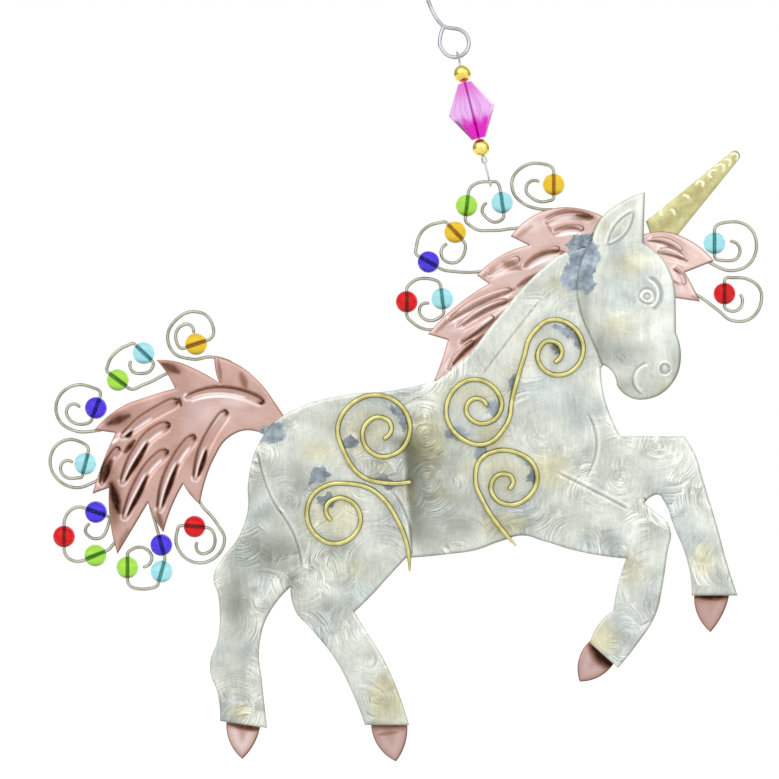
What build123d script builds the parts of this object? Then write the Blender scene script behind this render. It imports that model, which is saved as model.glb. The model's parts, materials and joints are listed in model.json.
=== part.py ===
from build123d import *
import math
import os

# Drawing sheet: outlines and wire routes are points on a grid, counted right and down
sheet_step = 0.18  # mm for one step of the grid
crook_u = 455  # grid place of the hook's inner top, which is the origin
crook_v = -74

# Sheet metal
nickel_sheet = 0.8  # body and head
copper_sheet = 0.6  # mane, forelock, tail and hooves
horn_sheet = 0.8  # brass horn

# Wires
curl_wire = 0.6  # bead-carrying curls
scroll_wire = 1.0  # scrolls soldered on the body
hook_wire = 0.7  # hanger hook
link_wire = 0.4  # bead link between the hook and the mane
wire_sides = 6
turn_step = 20  # degrees that a bend turns at each of its chords

# Beads
bead_diameter = 4.0
bead_play = 0.08  # radial play between a bead and its wire
bead_margin = 0.2  # straight wire past each face of a bead
gold_diameter = 3.2
bicone_width = 8.4
bicone_height = 10.4
bicone_end = 2.6
bead_sides = 10
bore_sides = 8
ball_bands = (0, 25, 50, 75)  # degrees of latitude of a ball's rings
stack_gap = 0.1  # between neighbours on the link

# Hanger
crook_radius = 5.6  # wire centre line
eye_radius = 2.55  # wire centre line of the hook's eye
eye_play = 0.2  # radial play in the link's two loops
loop_bend = 0.5  # bend from the link's stem into a loop
loop_gap = 0.5  # opening left at the end of a loop
stack_shift = 0.3  # straight stem between the upper bend and the first bead
hang_half = 0.8  # half of the straight wire that hangs in the link's loop
tip_flare = 0.9  # how far the hook's tip stands out from the crook
tip_drop = 2.6
crimp_diameter = 1.1
crimp_length = 1.2

# Relief
flute_height = 0.45  # crown of a pressed flute over the sheet
flute_width = 1.4
flute_crest = 0.4  # share of the flute that its crest takes
flute_quarter = 0.8  # share of its width that a flute has halfway to its ends
eye_boss = 1.1  # radius of the eye
eye_rise = 0.35
eye_top = 0.6  # share of the eye that its flat top takes

# Layers, measured from the curls' plane towards the viewer
lock_back = curl_wire / 2
lock_front = lock_back + copper_sheet
body_front = lock_front + nickel_sheet
head_front = body_front + nickel_sheet
scroll_level = body_front + scroll_wire / 2
forelock_back = body_front - copper_sheet
horn_back = forelock_back - horn_sheet
forelock_level = forelock_back - curl_wire / 2

# Hook: the eye's centre, the crook's top, the stem down to the eye, and the eye's end beside the stem
eye_u = 455
eye_v = 42
crook_top = (crook_u, crook_v - hook_wire / 2 / sheet_step)
stem_stops = [(428.7, 0, -72), (436.4, 16.8, -57), (448, 26.5, -8)]
eye_turns = (60, 0, -90, -150)  # degrees round the eye's centre
eye_end_stops = [(439.8, 42, 90), (441.7, 30.5, 72)]

# The mane wire's straight run that hangs in the link
hang_u = 490
hang_v = 181

# Fineness
gap_step = 0.25  # mm between the points on which a wire's gaps are measured
gap_reach = 4  # wire diameters along the wire before two points count as neighbours
straight_turn = 0.01  # degrees below which a run is straight
straight_spread = 1e-6

# Sheet outlines: each list is one smooth run, and runs meet in corners
body_runs = [
    [(435, 381), (393, 390.5), (345, 395), (305, 405), (276, 421), (257, 447), (248.5, 479), (247, 514),
     (238, 538), (222, 559), (214, 574), (219, 600), (219, 632), (210, 670), (218, 695), (220, 721)],
    [(220, 721), (267, 728)],
    [(267, 728), (262, 682), (259, 652), (265, 622), (279, 599), (290.5, 587)],
    [(290.5, 587), (295, 610), (313, 631), (335, 659), (353, 694), (365, 725)],
    [(365, 725), (409, 725)],
    [(409, 725), (399, 694), (383, 658), (366, 631), (354.5, 612)],
    [(354.5, 612), (370, 597), (391, 574), (406, 558)],
    [(406, 558), (445, 554.5), (476, 550), (500, 541.5), (522, 535.5), (545, 541.5), (573, 550),
     (626.5, 558.5)],
    [(626.5, 558.5), (618, 586), (613.5, 611)],
    [(613.5, 611), (600, 623), (590, 643)],
    [(590, 643), (618, 668)],
    [(618, 668), (632, 651), (657, 611), (663, 583), (668, 550), (671, 534), (667, 521.5)],
    [(667, 521.5), (644.5, 503.5)],
    [(644.5, 503.5), (650, 497.5), (659, 495), (664.5, 502), (674, 526), (686, 556), (691, 578),
     (692, 595.5)],
    [(692, 595.5), (737.5, 595.5)],
    [(737.5, 595.5), (727, 563), (717, 526), (703, 480), (694.5, 453), (684, 436.5)],
    [(684, 436.5), (620, 436)],
    [(620, 436), (611, 417), (603.5, 393), (601, 368)],
    [(601, 368), (628, 320), (630, 270), (596, 243)],
    [(596, 243), (559, 254.5)],
    [(559, 254.5), (527, 283), (496, 320), (462, 361), (435, 381)],
]
head_runs = [
    [(644.5, 192.5), (643, 243.5)],
    [(643, 243.5), (658, 254.5), (670, 273), (675, 293)],
    [(675, 293), (675.5, 333)],
    [(675.5, 333), (680.3, 352), (675, 378.5), (653, 397.5), (631, 398), (616.5, 385)],
    [(616.5, 385), (613.5, 374), (601.5, 364.5)],
    [(601.5, 364.5), (592, 341), (581.5, 317), (577, 297)],
    [(577, 297), (580, 265), (592, 240)],
    [(592, 240), (602, 217), (619, 203.5), (644.5, 192.5)],
]
mane_runs = [
    [(603, 216), (579, 208), (554, 208), (530, 217.5), (511, 236)],
    [(511, 236), (529, 245)],
    [(529, 245), (500, 256), (477, 275)],
    [(477, 275), (489, 283.5)],
    [(489, 283.5), (458, 304.5), (428, 334)],
    [(428, 334), (448, 340)],
    [(448, 340), (443, 357), (434, 381)],
    [(434, 381), (480, 372), (545, 318), (596, 262), (603, 216)],
]
forelock_runs = [
    [(640, 236), (664, 231.5), (690, 240.5), (714, 261)],
    [(714, 261), (685, 272.5)],
    [(685, 272.5), (693, 287), (700, 301.5)],
    [(700, 301.5), (662, 296)],
    [(662, 296), (640, 236)],
]
horn_runs = [
    [(646.5, 221), (731, 152.5)],
    [(731, 152.5), (738.5, 151.5), (739, 159.5)],
    [(739, 159.5), (674, 240)],
    [(674, 240), (655, 246)],
    [(655, 246), (646.5, 221)],
]
tail_runs = [
    [(292, 430), (277, 406), (259, 382), (240, 366), (214, 356)],
    [(214, 356), (215, 369), (219, 383)],
    [(219, 383), (195, 369), (173.5, 361), (156, 360)],
    [(156, 360), (167, 374), (174.5, 388.5)],
    [(174.5, 388.5), (152, 395), (119, 408), (94, 430)],
    [(94, 430), (115, 433)],
    [(115, 433), (104, 458), (92, 494)],
    [(92, 494), (108.5, 488)],
    [(108.5, 488), (109, 515), (117, 554)],
    [(117, 554), (134.5, 525), (147.5, 503)],
    [(147.5, 503), (154, 518), (163, 532.5)],
    [(163, 532.5), (171, 508), (183, 484)],
    [(183, 484), (190, 495), (199.5, 504.5)],
    [(199.5, 504.5), (204, 484), (213, 460), (228, 438), (245, 430.5), (262, 434)],
    [(262, 434), (280, 448)],
    [(280, 448), (292, 430)],
]
# Each hoof: left shoulder, left flank, tip, right flank, right shoulder, then the tongue behind the cuff
hoof_points = {
    "hoof_far_hind": [(226, 724), (230, 744), (242, 759.5), (253, 746), (260, 727), (258, 708), (229, 706)],
    "hoof_near_hind": [(371, 722), (377, 745), (396, 762), (404, 748), (407, 722), (400, 702), (366, 702)],
    "hoof_near_fore": [(592, 640), (580, 657), (580, 682), (596, 679), (614, 664), (622, 646), (606, 630)],
    "hoof_far_fore": [(695, 594), (697, 612), (711, 632.5), (723, 615), (730, 594), (724, 576), (698, 576)],
}

# Pressed flutes: one end, the middle and the other end
tail_flutes = [
    [(187, 397), (219, 390), (264, 403)],
    [(126, 436), (146, 418), (176, 401)],
    [(121, 479), (140, 446), (171, 422)],
    [(122, 516), (140, 478), (168, 450)],
    [(157, 507), (170, 467), (194, 436)],
    [(195, 477), (205, 441), (227, 411)],
    [(101, 484), (107, 464), (119, 447)],
]
mane_flutes = [
    [(549, 220), (566, 215), (590, 217)],
    [(556, 232), (570, 227), (583, 228)],
    [(492, 272), (504, 264), (517, 259)],
    [(526, 265), (536, 256), (556, 249)],
    [(453, 316), (471, 303), (508, 290)],
    [(458, 325), (477, 311), (500, 303)],
    [(463, 341), (476, 330), (488, 319)],
    [(450, 368), (458, 355), (470, 343)],
]
forelock_flutes = [
    [(651, 240), (665, 240), (682, 251)],
    [(659, 250), (668, 250), (684, 259)],
    [(674, 268), (681, 275), (684, 285)],
]
eye_place = (646, 297)

# Wire routes: a place, a place with the heading there, or a bead with its heading and colour
tail_curls = [
    [(230, 362), (212, 357), (191, 359), (173, 352.5), (167, 335), (175, 320), (191, 311.5), (208, 317.5),
     (195.5, 344, 199, "amber"), (175, 336.5), (181, 325.5), (189, 324.5), (193, 331.5)],
    [(176, 369), (163, 375), (146, 383.5), (117, 380, 142, "green"), (108, 362), (115, 352.5), (125, 346),
     (143, 353, -45, "aqua"), (150, 370), (141, 373.5), (131, 370.5), (129.5, 362)],
    [(110, 427), (94, 431), (74, 431), (58, 420), (55.5, 403), (67, 388), (85, 385.5),
     (95, 408, -110, "blue"), (80, 424.5), (69, 420), (65.5, 411), (70, 404.5), (78, 406.5)],
    [(106, 474), (93, 482.5), (75, 488), (56, 479), (49, 462), (58, 443.5), (75, 440.5),
     (84.4, 464, -104, "aqua"), (74, 478.5), (63.5, 476.5), (59.5, 468), (63.5, 461.5), (70.5, 462)],
    [(122, 528), (113, 544), (94.5, 556, 203, "green"), (63, 537, 90, "red"), (95, 512.5, -20, "blue"),
     (106.5, 528), (99, 538.5), (89, 537.5), (84.5, 531), (87.5, 525)],
    [(150, 508), (155, 525), (160.6, 545.5, -75, "blue"), (160.9, 572, -105, "aqua"), (146, 589.5),
     (126.6, 568, 90, "green"), (134, 548.5), (146, 550), (151, 559.5), (143.5, 567.5)],
    [(193, 488), (199.5, 503), (215, 522), (224, 541), (214.5, 558), (198, 563.5), (180.5, 554),
     (175.5, 537), (194, 527, -5, "red"), (214.5, 540), (208.5, 552.5), (198.5, 553), (196, 544)],
]
mane_curls = [
    [(575, 213), (556, 209.5), (540, 208.5), (524, 203), (513.5, 191), (513, 178), (522, 167), (537, 162.5),
     (554.3, 184, -90, "amber"), (546, 201), (534, 198.5), (526.5, 189), (530.5, 181), (538.5, 180.5)],
    [(532, 226), (514, 228), (494, 230), (474, 227.5), (467, 205, 83, "green"), (hang_u, hang_v, 0, "hang"),
     (502.5, 202, -82, "aqua"), (497, 221.5), (487, 217.5), (482.5, 209), (486, 203)],
    [(497, 269), (479, 271.5), (458, 271.5), (428.7, 261.5, 150, "blue"), (417, 243), (424, 229),
     (438, 222.5), (455.5, 231.7, -48, "amber"), (464.5, 253), (454, 262.5), (443.5, 258.5), (441.5, 250),
     (446, 244)],
    [(447, 323), (431, 329.5), (414, 323.5), (406.8, 301.5, 90, "red"), (412, 282), (426, 278),
     (442.5, 298.5, -83, "aqua"), (437, 319), (426, 319.5), (419.5, 311), (422.5, 304), (428, 303)],
]
forelock_curls = [
    [(698, 254), (713, 264), (732, 270.5), (749, 264.5), (757, 247), (749, 226.5), (733, 221.5),
     (715, 243, -90, "aqua"), (727, 260.5), (738, 257.5), (740, 247.5), (732, 241)],
    [(684, 289), (699, 296), (717, 309), (733, 320.5), (750, 319), (761, 305), (760, 288), (748, 279),
     (738, 277.5), (725, 293.5, -90, "red"), (731.5, 311), (739.5, 309), (743, 301.5), (741.5, 295.5)],
]
scrolls = {
    "scroll_rump_upper": [
        (409, 482), (387, 483), (362, 476), (344, 452), (338, 426), (352, 403.5), (378, 395), (402, 407),
        (410, 430), (398, 452), (379, 456), (364, 443), (366, 424), (380, 417), (391, 425), (385, 438)],
    "scroll_rump_lower": [
        (409.5, 570), (407, 545), (397, 519), (383, 498.5), (369, 488), (349, 483.5), (329, 484.5),
        (313, 495), (307, 513), (315, 534), (336, 543.5), (354, 535), (360.5, 517), (352, 502), (337, 498),
        (326.5, 506), (330, 519)],
    "scroll_shoulder": [
        (556, 361.5), (561.5, 350), (549, 341), (538, 352), (544, 370), (560, 375), (577, 366), (583, 349),
        (573, 327), (551, 320), (533, 333), (522, 363), (513, 395), (506, 425), (485, 444), (461, 438),
        (446, 412), (453, 391), (474, 379.5), (494, 388), (501.5, 406), (492, 421), (475, 422), (466, 409),
        (475, 398.5), (486, 404)],
    "scroll_belly": [
        (515.5, 545), (503, 531), (485, 505), (475.5, 480), (480, 460), (498, 450.5), (518, 453), (533, 464),
        (537, 479), (529, 496), (511, 504.5), (495, 498), (491, 485), (501, 474), (512, 478), (510, 488)],
}


def at(u, v):
    return Vector((u - crook_u) * sheet_step, (crook_v - v) * sheet_step)


def toward(degrees):
    return Vector(math.cos(math.radians(degrees)), math.sin(math.radians(degrees)))


def heading(start, end):
    return math.degrees(math.atan2(end.Y - start.Y, end.X - start.X))


def turn(start, end):
    return (end - start + 180) % 360 - 180


# A route's stops on the sheet, each with its heading or none, and the beads that it threads
def stops_and_beads(route):
    stops = []
    beads = []
    for stop in route:
        place = at(stop[0], stop[1])
        if len(stop) < 4:
            stops.append((place, stop[2] if len(stop) == 3 else None))
            continue
        half = hang_half if stop[3] == "hang" else bead_diameter / 2 + bead_margin
        along = toward(stop[2])
        stops.append((place - along * half, stop[2]))
        stops.append((place + along * half, stop[2]))
        if stop[3] != "hang":
            beads.append((stop[3], place, along))
    return stops, beads


# Headings that a stop lacks share out the turn between the runs before and after it
def with_headings(stops):
    places = [place for place, _ in stops]
    headings = [given for _, given in stops]
    for i in range(1, len(stops) - 1):
        if headings[i] is None:
            before = heading(places[i - 1], places[i])
            after = heading(places[i], places[i + 1])
            length_before = (places[i] - places[i - 1]).length
            length_after = (places[i + 1] - places[i]).length
            headings[i] = before + turn(before, after) * length_before / (length_before + length_after)
    if headings[0] is None:
        chord = heading(places[0], places[1])
        headings[0] = chord - (turn(chord, headings[1]) if headings[1] is not None else 0)
    if headings[-1] is None:
        chord = heading(places[-2], places[-1])
        headings[-1] = chord - turn(chord, headings[-2])
    return list(zip(places, headings))


# One arc, or a straight line where the heading already points at the end
def arc(start, degrees, end):
    if abs(turn(degrees, heading(start, end))) < straight_turn:
        return Edge.make_line(start, end)
    return Edge.make_tangent_arc(start, toward(degrees), end)


# Two arcs that leave one stop and reach the next on their headings
def two_arcs(start, start_heading, end, end_heading):
    chord = end - start
    out = toward(start_heading)
    back = toward(end_heading)
    spread = 2 * (1 - out.dot(back))
    across = chord.dot(out + back)
    if spread < straight_spread:
        reach = chord.dot(chord) / (2 * across)
    else:
        reach = (math.sqrt(across**2 + spread * chord.dot(chord)) - across) / spread
    if abs(turn(start_heading, heading(start, end))) < straight_turn and spread < straight_spread:
        return [Edge.make_line(start, end)]
    middle = (start + end + (out - back) * reach) * 0.5
    chord_heading = heading(start, middle)
    middle_heading = 2 * chord_heading - start_heading
    return [arc(start, start_heading, middle), arc(middle, middle_heading, end)]


def route_edges(stops):
    stops = with_headings(stops)
    edges = []
    for (start, start_heading), (end, end_heading) in zip(stops, stops[1:]):
        edges += two_arcs(start, start_heading, end, end_heading)
    return edges


# A sheet-metal piece from its outline, between two levels
def plate(runs, back, front):
    edges = []
    for run in runs:
        edges += route_edges([(at(*place), None) for place in run])
    return Pos(0, 0, back) * extrude(Face(Wire(edges)), amount=front - back, dir=(0, 0, 1))


# The least gap between turns of a wire, measured on points along it
def least_gap(edges, diameter):
    points = []
    travelled = 0.0
    for edge in edges:
        steps = max(2, math.ceil(edge.length / gap_step))
        for k in range(steps):
            points.append((travelled + edge.length * k / steps, tuple(edge @ (k / steps))))
        travelled += edge.length
    apart = []
    for i, (near, place) in enumerate(points):
        apart += [math.dist(place, other) for far, other in points[i:] if far - near > gap_reach * diameter]
    return min(apart, default=math.inf) - diameter


# A route's bends as straight chords
def chord_points(edges):
    points = [edges[0] @ 0]
    for edge in edges:
        count = 1
        if edge.geom_type == GeomType.CIRCLE:
            count = max(1, round(math.degrees(edge.length / edge.radius) / turn_step))
        points += [edge @ (k / count) for k in range(1, count + 1)]
    return points


# A drawn wire: a many-sided section mitred along its route, with two flats parallel to the sheet
def wire_along(edges, diameter, label):
    points = chord_points(edges)
    path = Wire.make_polygon(points, close=False)
    ahead = (points[1] - points[0]).normalized()
    across = Plane(origin=points[0], x_dir=ahead.cross(Vector(0, 0, 1)), z_dir=ahead)
    section = RegularPolygon(diameter / 2, wire_sides, major_radius=False, rotation=90 - 180 / wire_sides)
    solid = sweep(across * section, path=path, transition=Transition.RIGHT)
    ratio = solid.volume / (section.area * path.length)
    gap = least_gap(edges, wire_corner(diameter) * 2)
    print(f"{label} length {path.length:.1f} volume ratio {ratio:.4f} least gap {gap:.2f}")
    return solid


# Half the width of a wire over its corners
def wire_corner(diameter):
    return diameter / 2 / math.cos(math.pi / wire_sides)


# A pressed flute: a slim bent leaf that leans in to its crest
def flute(places, level):
    foot, middle, tip = (at(*place) for place in places)
    side = flute_width / 2
    near = foot * 0.375 + middle * 0.75 - tip * 0.125
    far = tip * 0.375 + middle * 0.75 - foot * 0.125
    right = []
    left = []
    for before, place, after, half in (
        (foot, near, middle, side * flute_quarter),
        (near, middle, far, side),
        (middle, far, tip, side * flute_quarter),
    ):
        across = toward(heading(before, after) + 90) * half
        right.append(place - across)
        left.append(place + across)
    leaf = make_face(Polyline(foot, *right, tip, *left[::-1], close=True))
    lean = math.degrees(math.atan2(side * (1 - flute_crest), flute_height))
    return Pos(0, 0, level) * extrude(leaf, amount=flute_height, taper=lean)


# Flat bands stacked between many-sided rings, each ring a height and a radius
def stacked(rings):
    bands = []
    for (low, wide), (high, narrow) in zip(rings, rings[1:]):
        lean = math.degrees(math.atan2((wide - narrow) * math.cos(math.pi / bead_sides), high - low))
        band = extrude(RegularPolygon(wide, bead_sides), amount=high - low, taper=lean)
        bands.append(Pos(0, 0, low) * band)
    return Part() + bands


# A bead: bands up from its waist, the same below it, and a bore
def bead_of(rings, bore):
    half = stacked(rings)
    hole = RegularPolygon(bore, bore_sides, major_radius=False)
    drill = extrude(hole, amount=rings[-1][0] * 2, both=True)
    return half + mirror(half, about=Plane.XY) - drill


# A ball threaded on a wire
def ball(place, along, diameter, bore):
    radius = diameter / 2
    rings = [(radius * toward(a).Y, radius * toward(a).X) for a in ball_bands]
    return Plane(origin=place, z_dir=along) * bead_of(rings, bore)


def up_level(place, level):
    return Vector(place.X, place.Y, level)


pieces = {}

# Hanger hook
crook_centre = at(*crook_top) - Vector(0, crook_radius)
eye_centre = at(eye_u, eye_v)
hook_stops = [
    (crook_centre + Vector(crook_radius + tip_flare, -tip_drop), None),
    (crook_centre + Vector(crook_radius, 0), 90),
    (crook_centre + Vector(0, crook_radius), 180),
    (crook_centre - Vector(crook_radius, 0), -90),
]
hook_stops += stops_and_beads(stem_stops)[0]
hook_stops += [(eye_centre + toward(a) * eye_radius, a - 90) for a in eye_turns]
hook_stops += stops_and_beads(eye_end_stops)[0]
pieces["hanger_hook"] = wire_along(route_edges(hook_stops), hook_wire, "hanger_hook")

# Link wire: a loop on the hook's eye, the stem, and a loop under the mane's wire
hang_place = at(hang_u, hang_v)
link_way = (hang_place - eye_centre).normalized()
link_length = (hang_place - eye_centre).length
link_plane = Plane(origin=eye_centre, x_dir=link_way, z_dir=link_way.cross(Vector(0, 0, 1)))


# A loop round a wire at the origin, from its open end to the stem that leaves along X
def loop_stops(held_wire):
    radius = wire_corner(held_wire) + eye_play + wire_corner(link_wire)
    drop = math.sqrt((radius + loop_bend)**2 - loop_bend**2)
    join = math.degrees(math.atan2(loop_bend, drop))
    finish = join + 2 * math.degrees(math.asin((loop_gap + link_wire) / 2 / radius))
    far_side = (join - 360 - finish) / 2
    stops = [(toward(a) * radius, a - 90) for a in (-finish, far_side, join - 360)]
    return stops + [(Vector(drop, 0), 0)]


upper_loop = [(place + Vector(eye_radius, 0), given) for place, given in loop_stops(hook_wire)]
lower_loop = [(Vector(link_length, 0) - place, given) for place, given in loop_stops(curl_wire)]
link_stops = upper_loop + lower_loop[::-1]
pieces["link_wire"] = link_plane * wire_along(route_edges(link_stops), link_wire, "link_wire")

# Beads stacked on the link
stem_top = upper_loop[-1][0].X
link_bore = wire_corner(link_wire) + bead_play
gold_upper_at = stem_top + stack_shift + gold_diameter / 2
bicone_at = gold_upper_at + gold_diameter / 2 + stack_gap + bicone_height / 2
gold_lower_at = bicone_at + bicone_height / 2 + stack_gap + gold_diameter / 2
crimp_at = gold_lower_at + gold_diameter / 2 + stack_gap + crimp_length / 2


def on_link(distance):
    return eye_centre + link_way * distance


pieces["gold_bead_upper"] = ball(on_link(gold_upper_at), link_way, gold_diameter, link_bore)
pieces["gold_bead_lower"] = ball(on_link(gold_lower_at), link_way, gold_diameter, link_bore)
bicone = bead_of([(0, bicone_width / 2), (bicone_height / 2, bicone_end / 2)], link_bore)
pieces["bicone_bead"] = Plane(origin=on_link(bicone_at), z_dir=link_way) * bicone
crimp = extrude(RegularPolygon(crimp_diameter / 2, bore_sides), amount=crimp_length / 2, both=True)
crimp_bore = RegularPolygon(wire_corner(link_wire), bore_sides, major_radius=False)
crimp -= extrude(crimp_bore, amount=crimp_length, both=True)
pieces["crimp_tube"] = Plane(origin=on_link(crimp_at), z_dir=link_way) * crimp

# Sheet-metal pieces
pieces["body_plate"] = plate(body_runs, lock_front, body_front)
eye = stacked([(0, eye_boss), (eye_rise, eye_boss * eye_top)])
eye = Pos(*up_level(at(*eye_place), head_front)) * eye
pieces["head_plate"] = plate(head_runs, body_front, head_front) + eye
pieces["horn"] = plate(horn_runs, horn_back, forelock_back)
for name, runs, flutes, back, front in (
    ("mane", mane_runs, mane_flutes, lock_back, lock_front),
    ("forelock", forelock_runs, forelock_flutes, forelock_back, body_front),
    ("tail", tail_runs, tail_flutes, lock_back, lock_front),
):
    pieces[name] = plate(runs, back, front) + [flute(places, front) for places in flutes]
for name, places in hoof_points.items():
    runs = [places[0:3], places[2:5], places[4:6], places[5:7], [places[6], places[0]]]
    pieces[name] = plate(runs, lock_back, lock_front)

# Scroll wires on the body
for name, route in scrolls.items():
    edges = route_edges(stops_and_beads(route)[0])
    pieces[name] = Pos(0, 0, scroll_level) * wire_along(edges, scroll_wire, name)

# Curls with their threaded beads
bead_bore = wire_corner(curl_wire) + bead_play
for lock, curls, level in (
    ("tail", tail_curls, 0),
    ("mane", mane_curls, 0),
    ("forelock", forelock_curls, forelock_level),
):
    for number, route in enumerate(curls, 1):
        stops, beads = stops_and_beads(route)
        name = f"{lock}_curl_{number}"
        pieces[name] = Pos(0, 0, level) * wire_along(route_edges(stops), curl_wire, name)
        for colour, place, along in beads:
            bead = ball(up_level(place, level), along, bead_diameter, bead_bore)
            pieces[f"bead_{lock}_{number}_{colour}"] = bead

# Stand the sheet upright, facing -Y, and write each piece
os.makedirs("parts", exist_ok=True)
for name, piece in pieces.items():
    export_step(Plane.XZ * piece, f"parts/{name}.step")
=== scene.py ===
import cmath
import json
import math

import bpy
import numpy as np
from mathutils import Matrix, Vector, geometry, kdtree


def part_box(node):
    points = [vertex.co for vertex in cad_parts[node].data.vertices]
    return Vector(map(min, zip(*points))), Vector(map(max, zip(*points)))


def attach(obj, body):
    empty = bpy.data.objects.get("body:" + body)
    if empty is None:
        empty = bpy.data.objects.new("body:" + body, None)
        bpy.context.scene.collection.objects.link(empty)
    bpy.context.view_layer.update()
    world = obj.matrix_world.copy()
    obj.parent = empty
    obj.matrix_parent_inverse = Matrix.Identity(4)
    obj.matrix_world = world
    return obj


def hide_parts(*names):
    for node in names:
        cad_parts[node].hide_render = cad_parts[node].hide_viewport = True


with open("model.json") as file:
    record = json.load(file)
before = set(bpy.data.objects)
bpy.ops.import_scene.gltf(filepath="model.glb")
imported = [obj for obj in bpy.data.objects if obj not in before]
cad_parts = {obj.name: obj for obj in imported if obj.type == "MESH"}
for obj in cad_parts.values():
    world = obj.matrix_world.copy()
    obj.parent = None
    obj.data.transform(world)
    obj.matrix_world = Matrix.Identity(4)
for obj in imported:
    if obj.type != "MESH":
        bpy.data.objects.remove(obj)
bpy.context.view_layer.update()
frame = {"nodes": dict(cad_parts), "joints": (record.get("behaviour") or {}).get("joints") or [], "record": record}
print("frame loaded with", len(frame["nodes"]), "nodes")

# the sheet: places are counted right and down on a grid, its origin at the hook's inner top
sheet = {"step": 0.00018, "u": 455.0, "v": -74.0}
mm = 0.001


def place(u, v):  # a place on the sheet as x + iz, in metres
    return complex(u - sheet["u"], sheet["v"] - v) * sheet["step"]


# routes and outlines: smooth runs of two arcs from stop to stop
def turnOf(a, b):
    return (b - a + 180) % 360 - 180


def headingOf(a, b):
    return math.degrees(cmath.phase(b - a))


def withHeadings(stops):
    spots = [s for s, _ in stops]
    ways = [w for _, w in stops]
    for i in range(1, len(stops) - 1):
        if ways[i] is None:
            before, after = headingOf(spots[i - 1], spots[i]), headingOf(spots[i], spots[i + 1])
            near, far = abs(spots[i] - spots[i - 1]), abs(spots[i + 1] - spots[i])
            ways[i] = before + turnOf(before, after) * near / (near + far)
    if ways[0] is None:
        chord = headingOf(spots[0], spots[1])
        ways[0] = chord - (turnOf(chord, ways[1]) if ways[1] is not None else 0)
    if ways[-1] is None:
        chord = headingOf(spots[-2], spots[-1])
        ways[-1] = chord - turnOf(chord, ways[-2])
    return spots, ways


def arcTo(start, way, end, fine):  # points after the start, up to the end
    out = cmath.exp(1j * math.radians(way))
    half = cmath.phase((end - start) / out)
    chord = abs(end - start)
    length = chord if abs(half) < 1e-6 else chord * half / math.sin(half)
    count = max(1, math.ceil(2 * abs(half) / fine["turn"]), math.ceil(length / fine["length"]))
    if abs(half) < 1e-6:
        return [start + (end - start) * k / count for k in range(1, count + 1)]
    swing = out * length / (2j * half)
    return [start + swing * (cmath.exp(2j * half * k / count) - 1) for k in range(1, count + 1)]


def smoothRun(stops, fine):
    spots, ways = withHeadings(stops)
    points = [spots[0]]
    for a, wayA, b, wayB in zip(spots, ways, spots[1:], ways[1:]):
        out, back = cmath.exp(1j * math.radians(wayA)), cmath.exp(1j * math.radians(wayB))
        chord = b - a
        spread = 2 * (1 - (out * back.conjugate()).real)
        across = (chord * (out + back).conjugate()).real
        if spread < 1e-6:
            reach = abs(chord) ** 2 / (2 * across)
        else:
            reach = (math.sqrt(across ** 2 + spread * abs(chord) ** 2) - across) / spread
        middle = (a + b + (out - back) * reach) / 2
        points += arcTo(a, wayA, middle, fine)
        points += arcTo(middle, 2 * headingOf(a, middle) - wayA, b, fine)
    return points


wireFine = {"turn": math.radians(5), "length": 0.5 * mm}
rimFine = {"turn": math.radians(8), "length": 0.27 * mm / sheet["step"]}  # on the grid
lineFine = {"turn": math.radians(8), "length": 0.5 * mm / sheet["step"]}


# shader maths: a socket that takes part in plain expressions
class Term:
    def __init__(self, finish, socket):
        self.finish, self.socket = finish, socket

    def maths(self, operation, a, b=0.0):
        return self.finish.node("ShaderNodeMath", {"operation": operation}, {0: a, 1: b})

    def __add__(self, other): return self.maths("ADD", self, other)
    def __radd__(self, other): return self.maths("ADD", other, self)
    def __sub__(self, other): return self.maths("SUBTRACT", self, other)
    def __rsub__(self, other): return self.maths("SUBTRACT", other, self)
    def __mul__(self, other): return self.maths("MULTIPLY", self, other)
    def __rmul__(self, other): return self.maths("MULTIPLY", other, self)
    def __truediv__(self, other): return self.maths("DIVIDE", self, other)
    def __rtruediv__(self, other): return self.maths("DIVIDE", other, self)
    def __pow__(self, other): return self.maths("POWER", self, other)
    def __rpow__(self, other): return self.maths("POWER", other, self)
    def __abs__(self): return self.maths("ABSOLUTE", self)

    def most(self, other): return self.maths("MAXIMUM", self, other)
    def least(self, other): return self.maths("MINIMUM", self, other)
    def out(self, name): return Term(self.finish, self.socket.node.outputs[name])

    def step(self, low, high):  # eased from 0 at low to 1 at high
        return self.finish.node("ShaderNodeMapRange", {"interpolation_type": "SMOOTHSTEP"},
                                {"Value": self, "From Min": low, "From Max": high})


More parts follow.
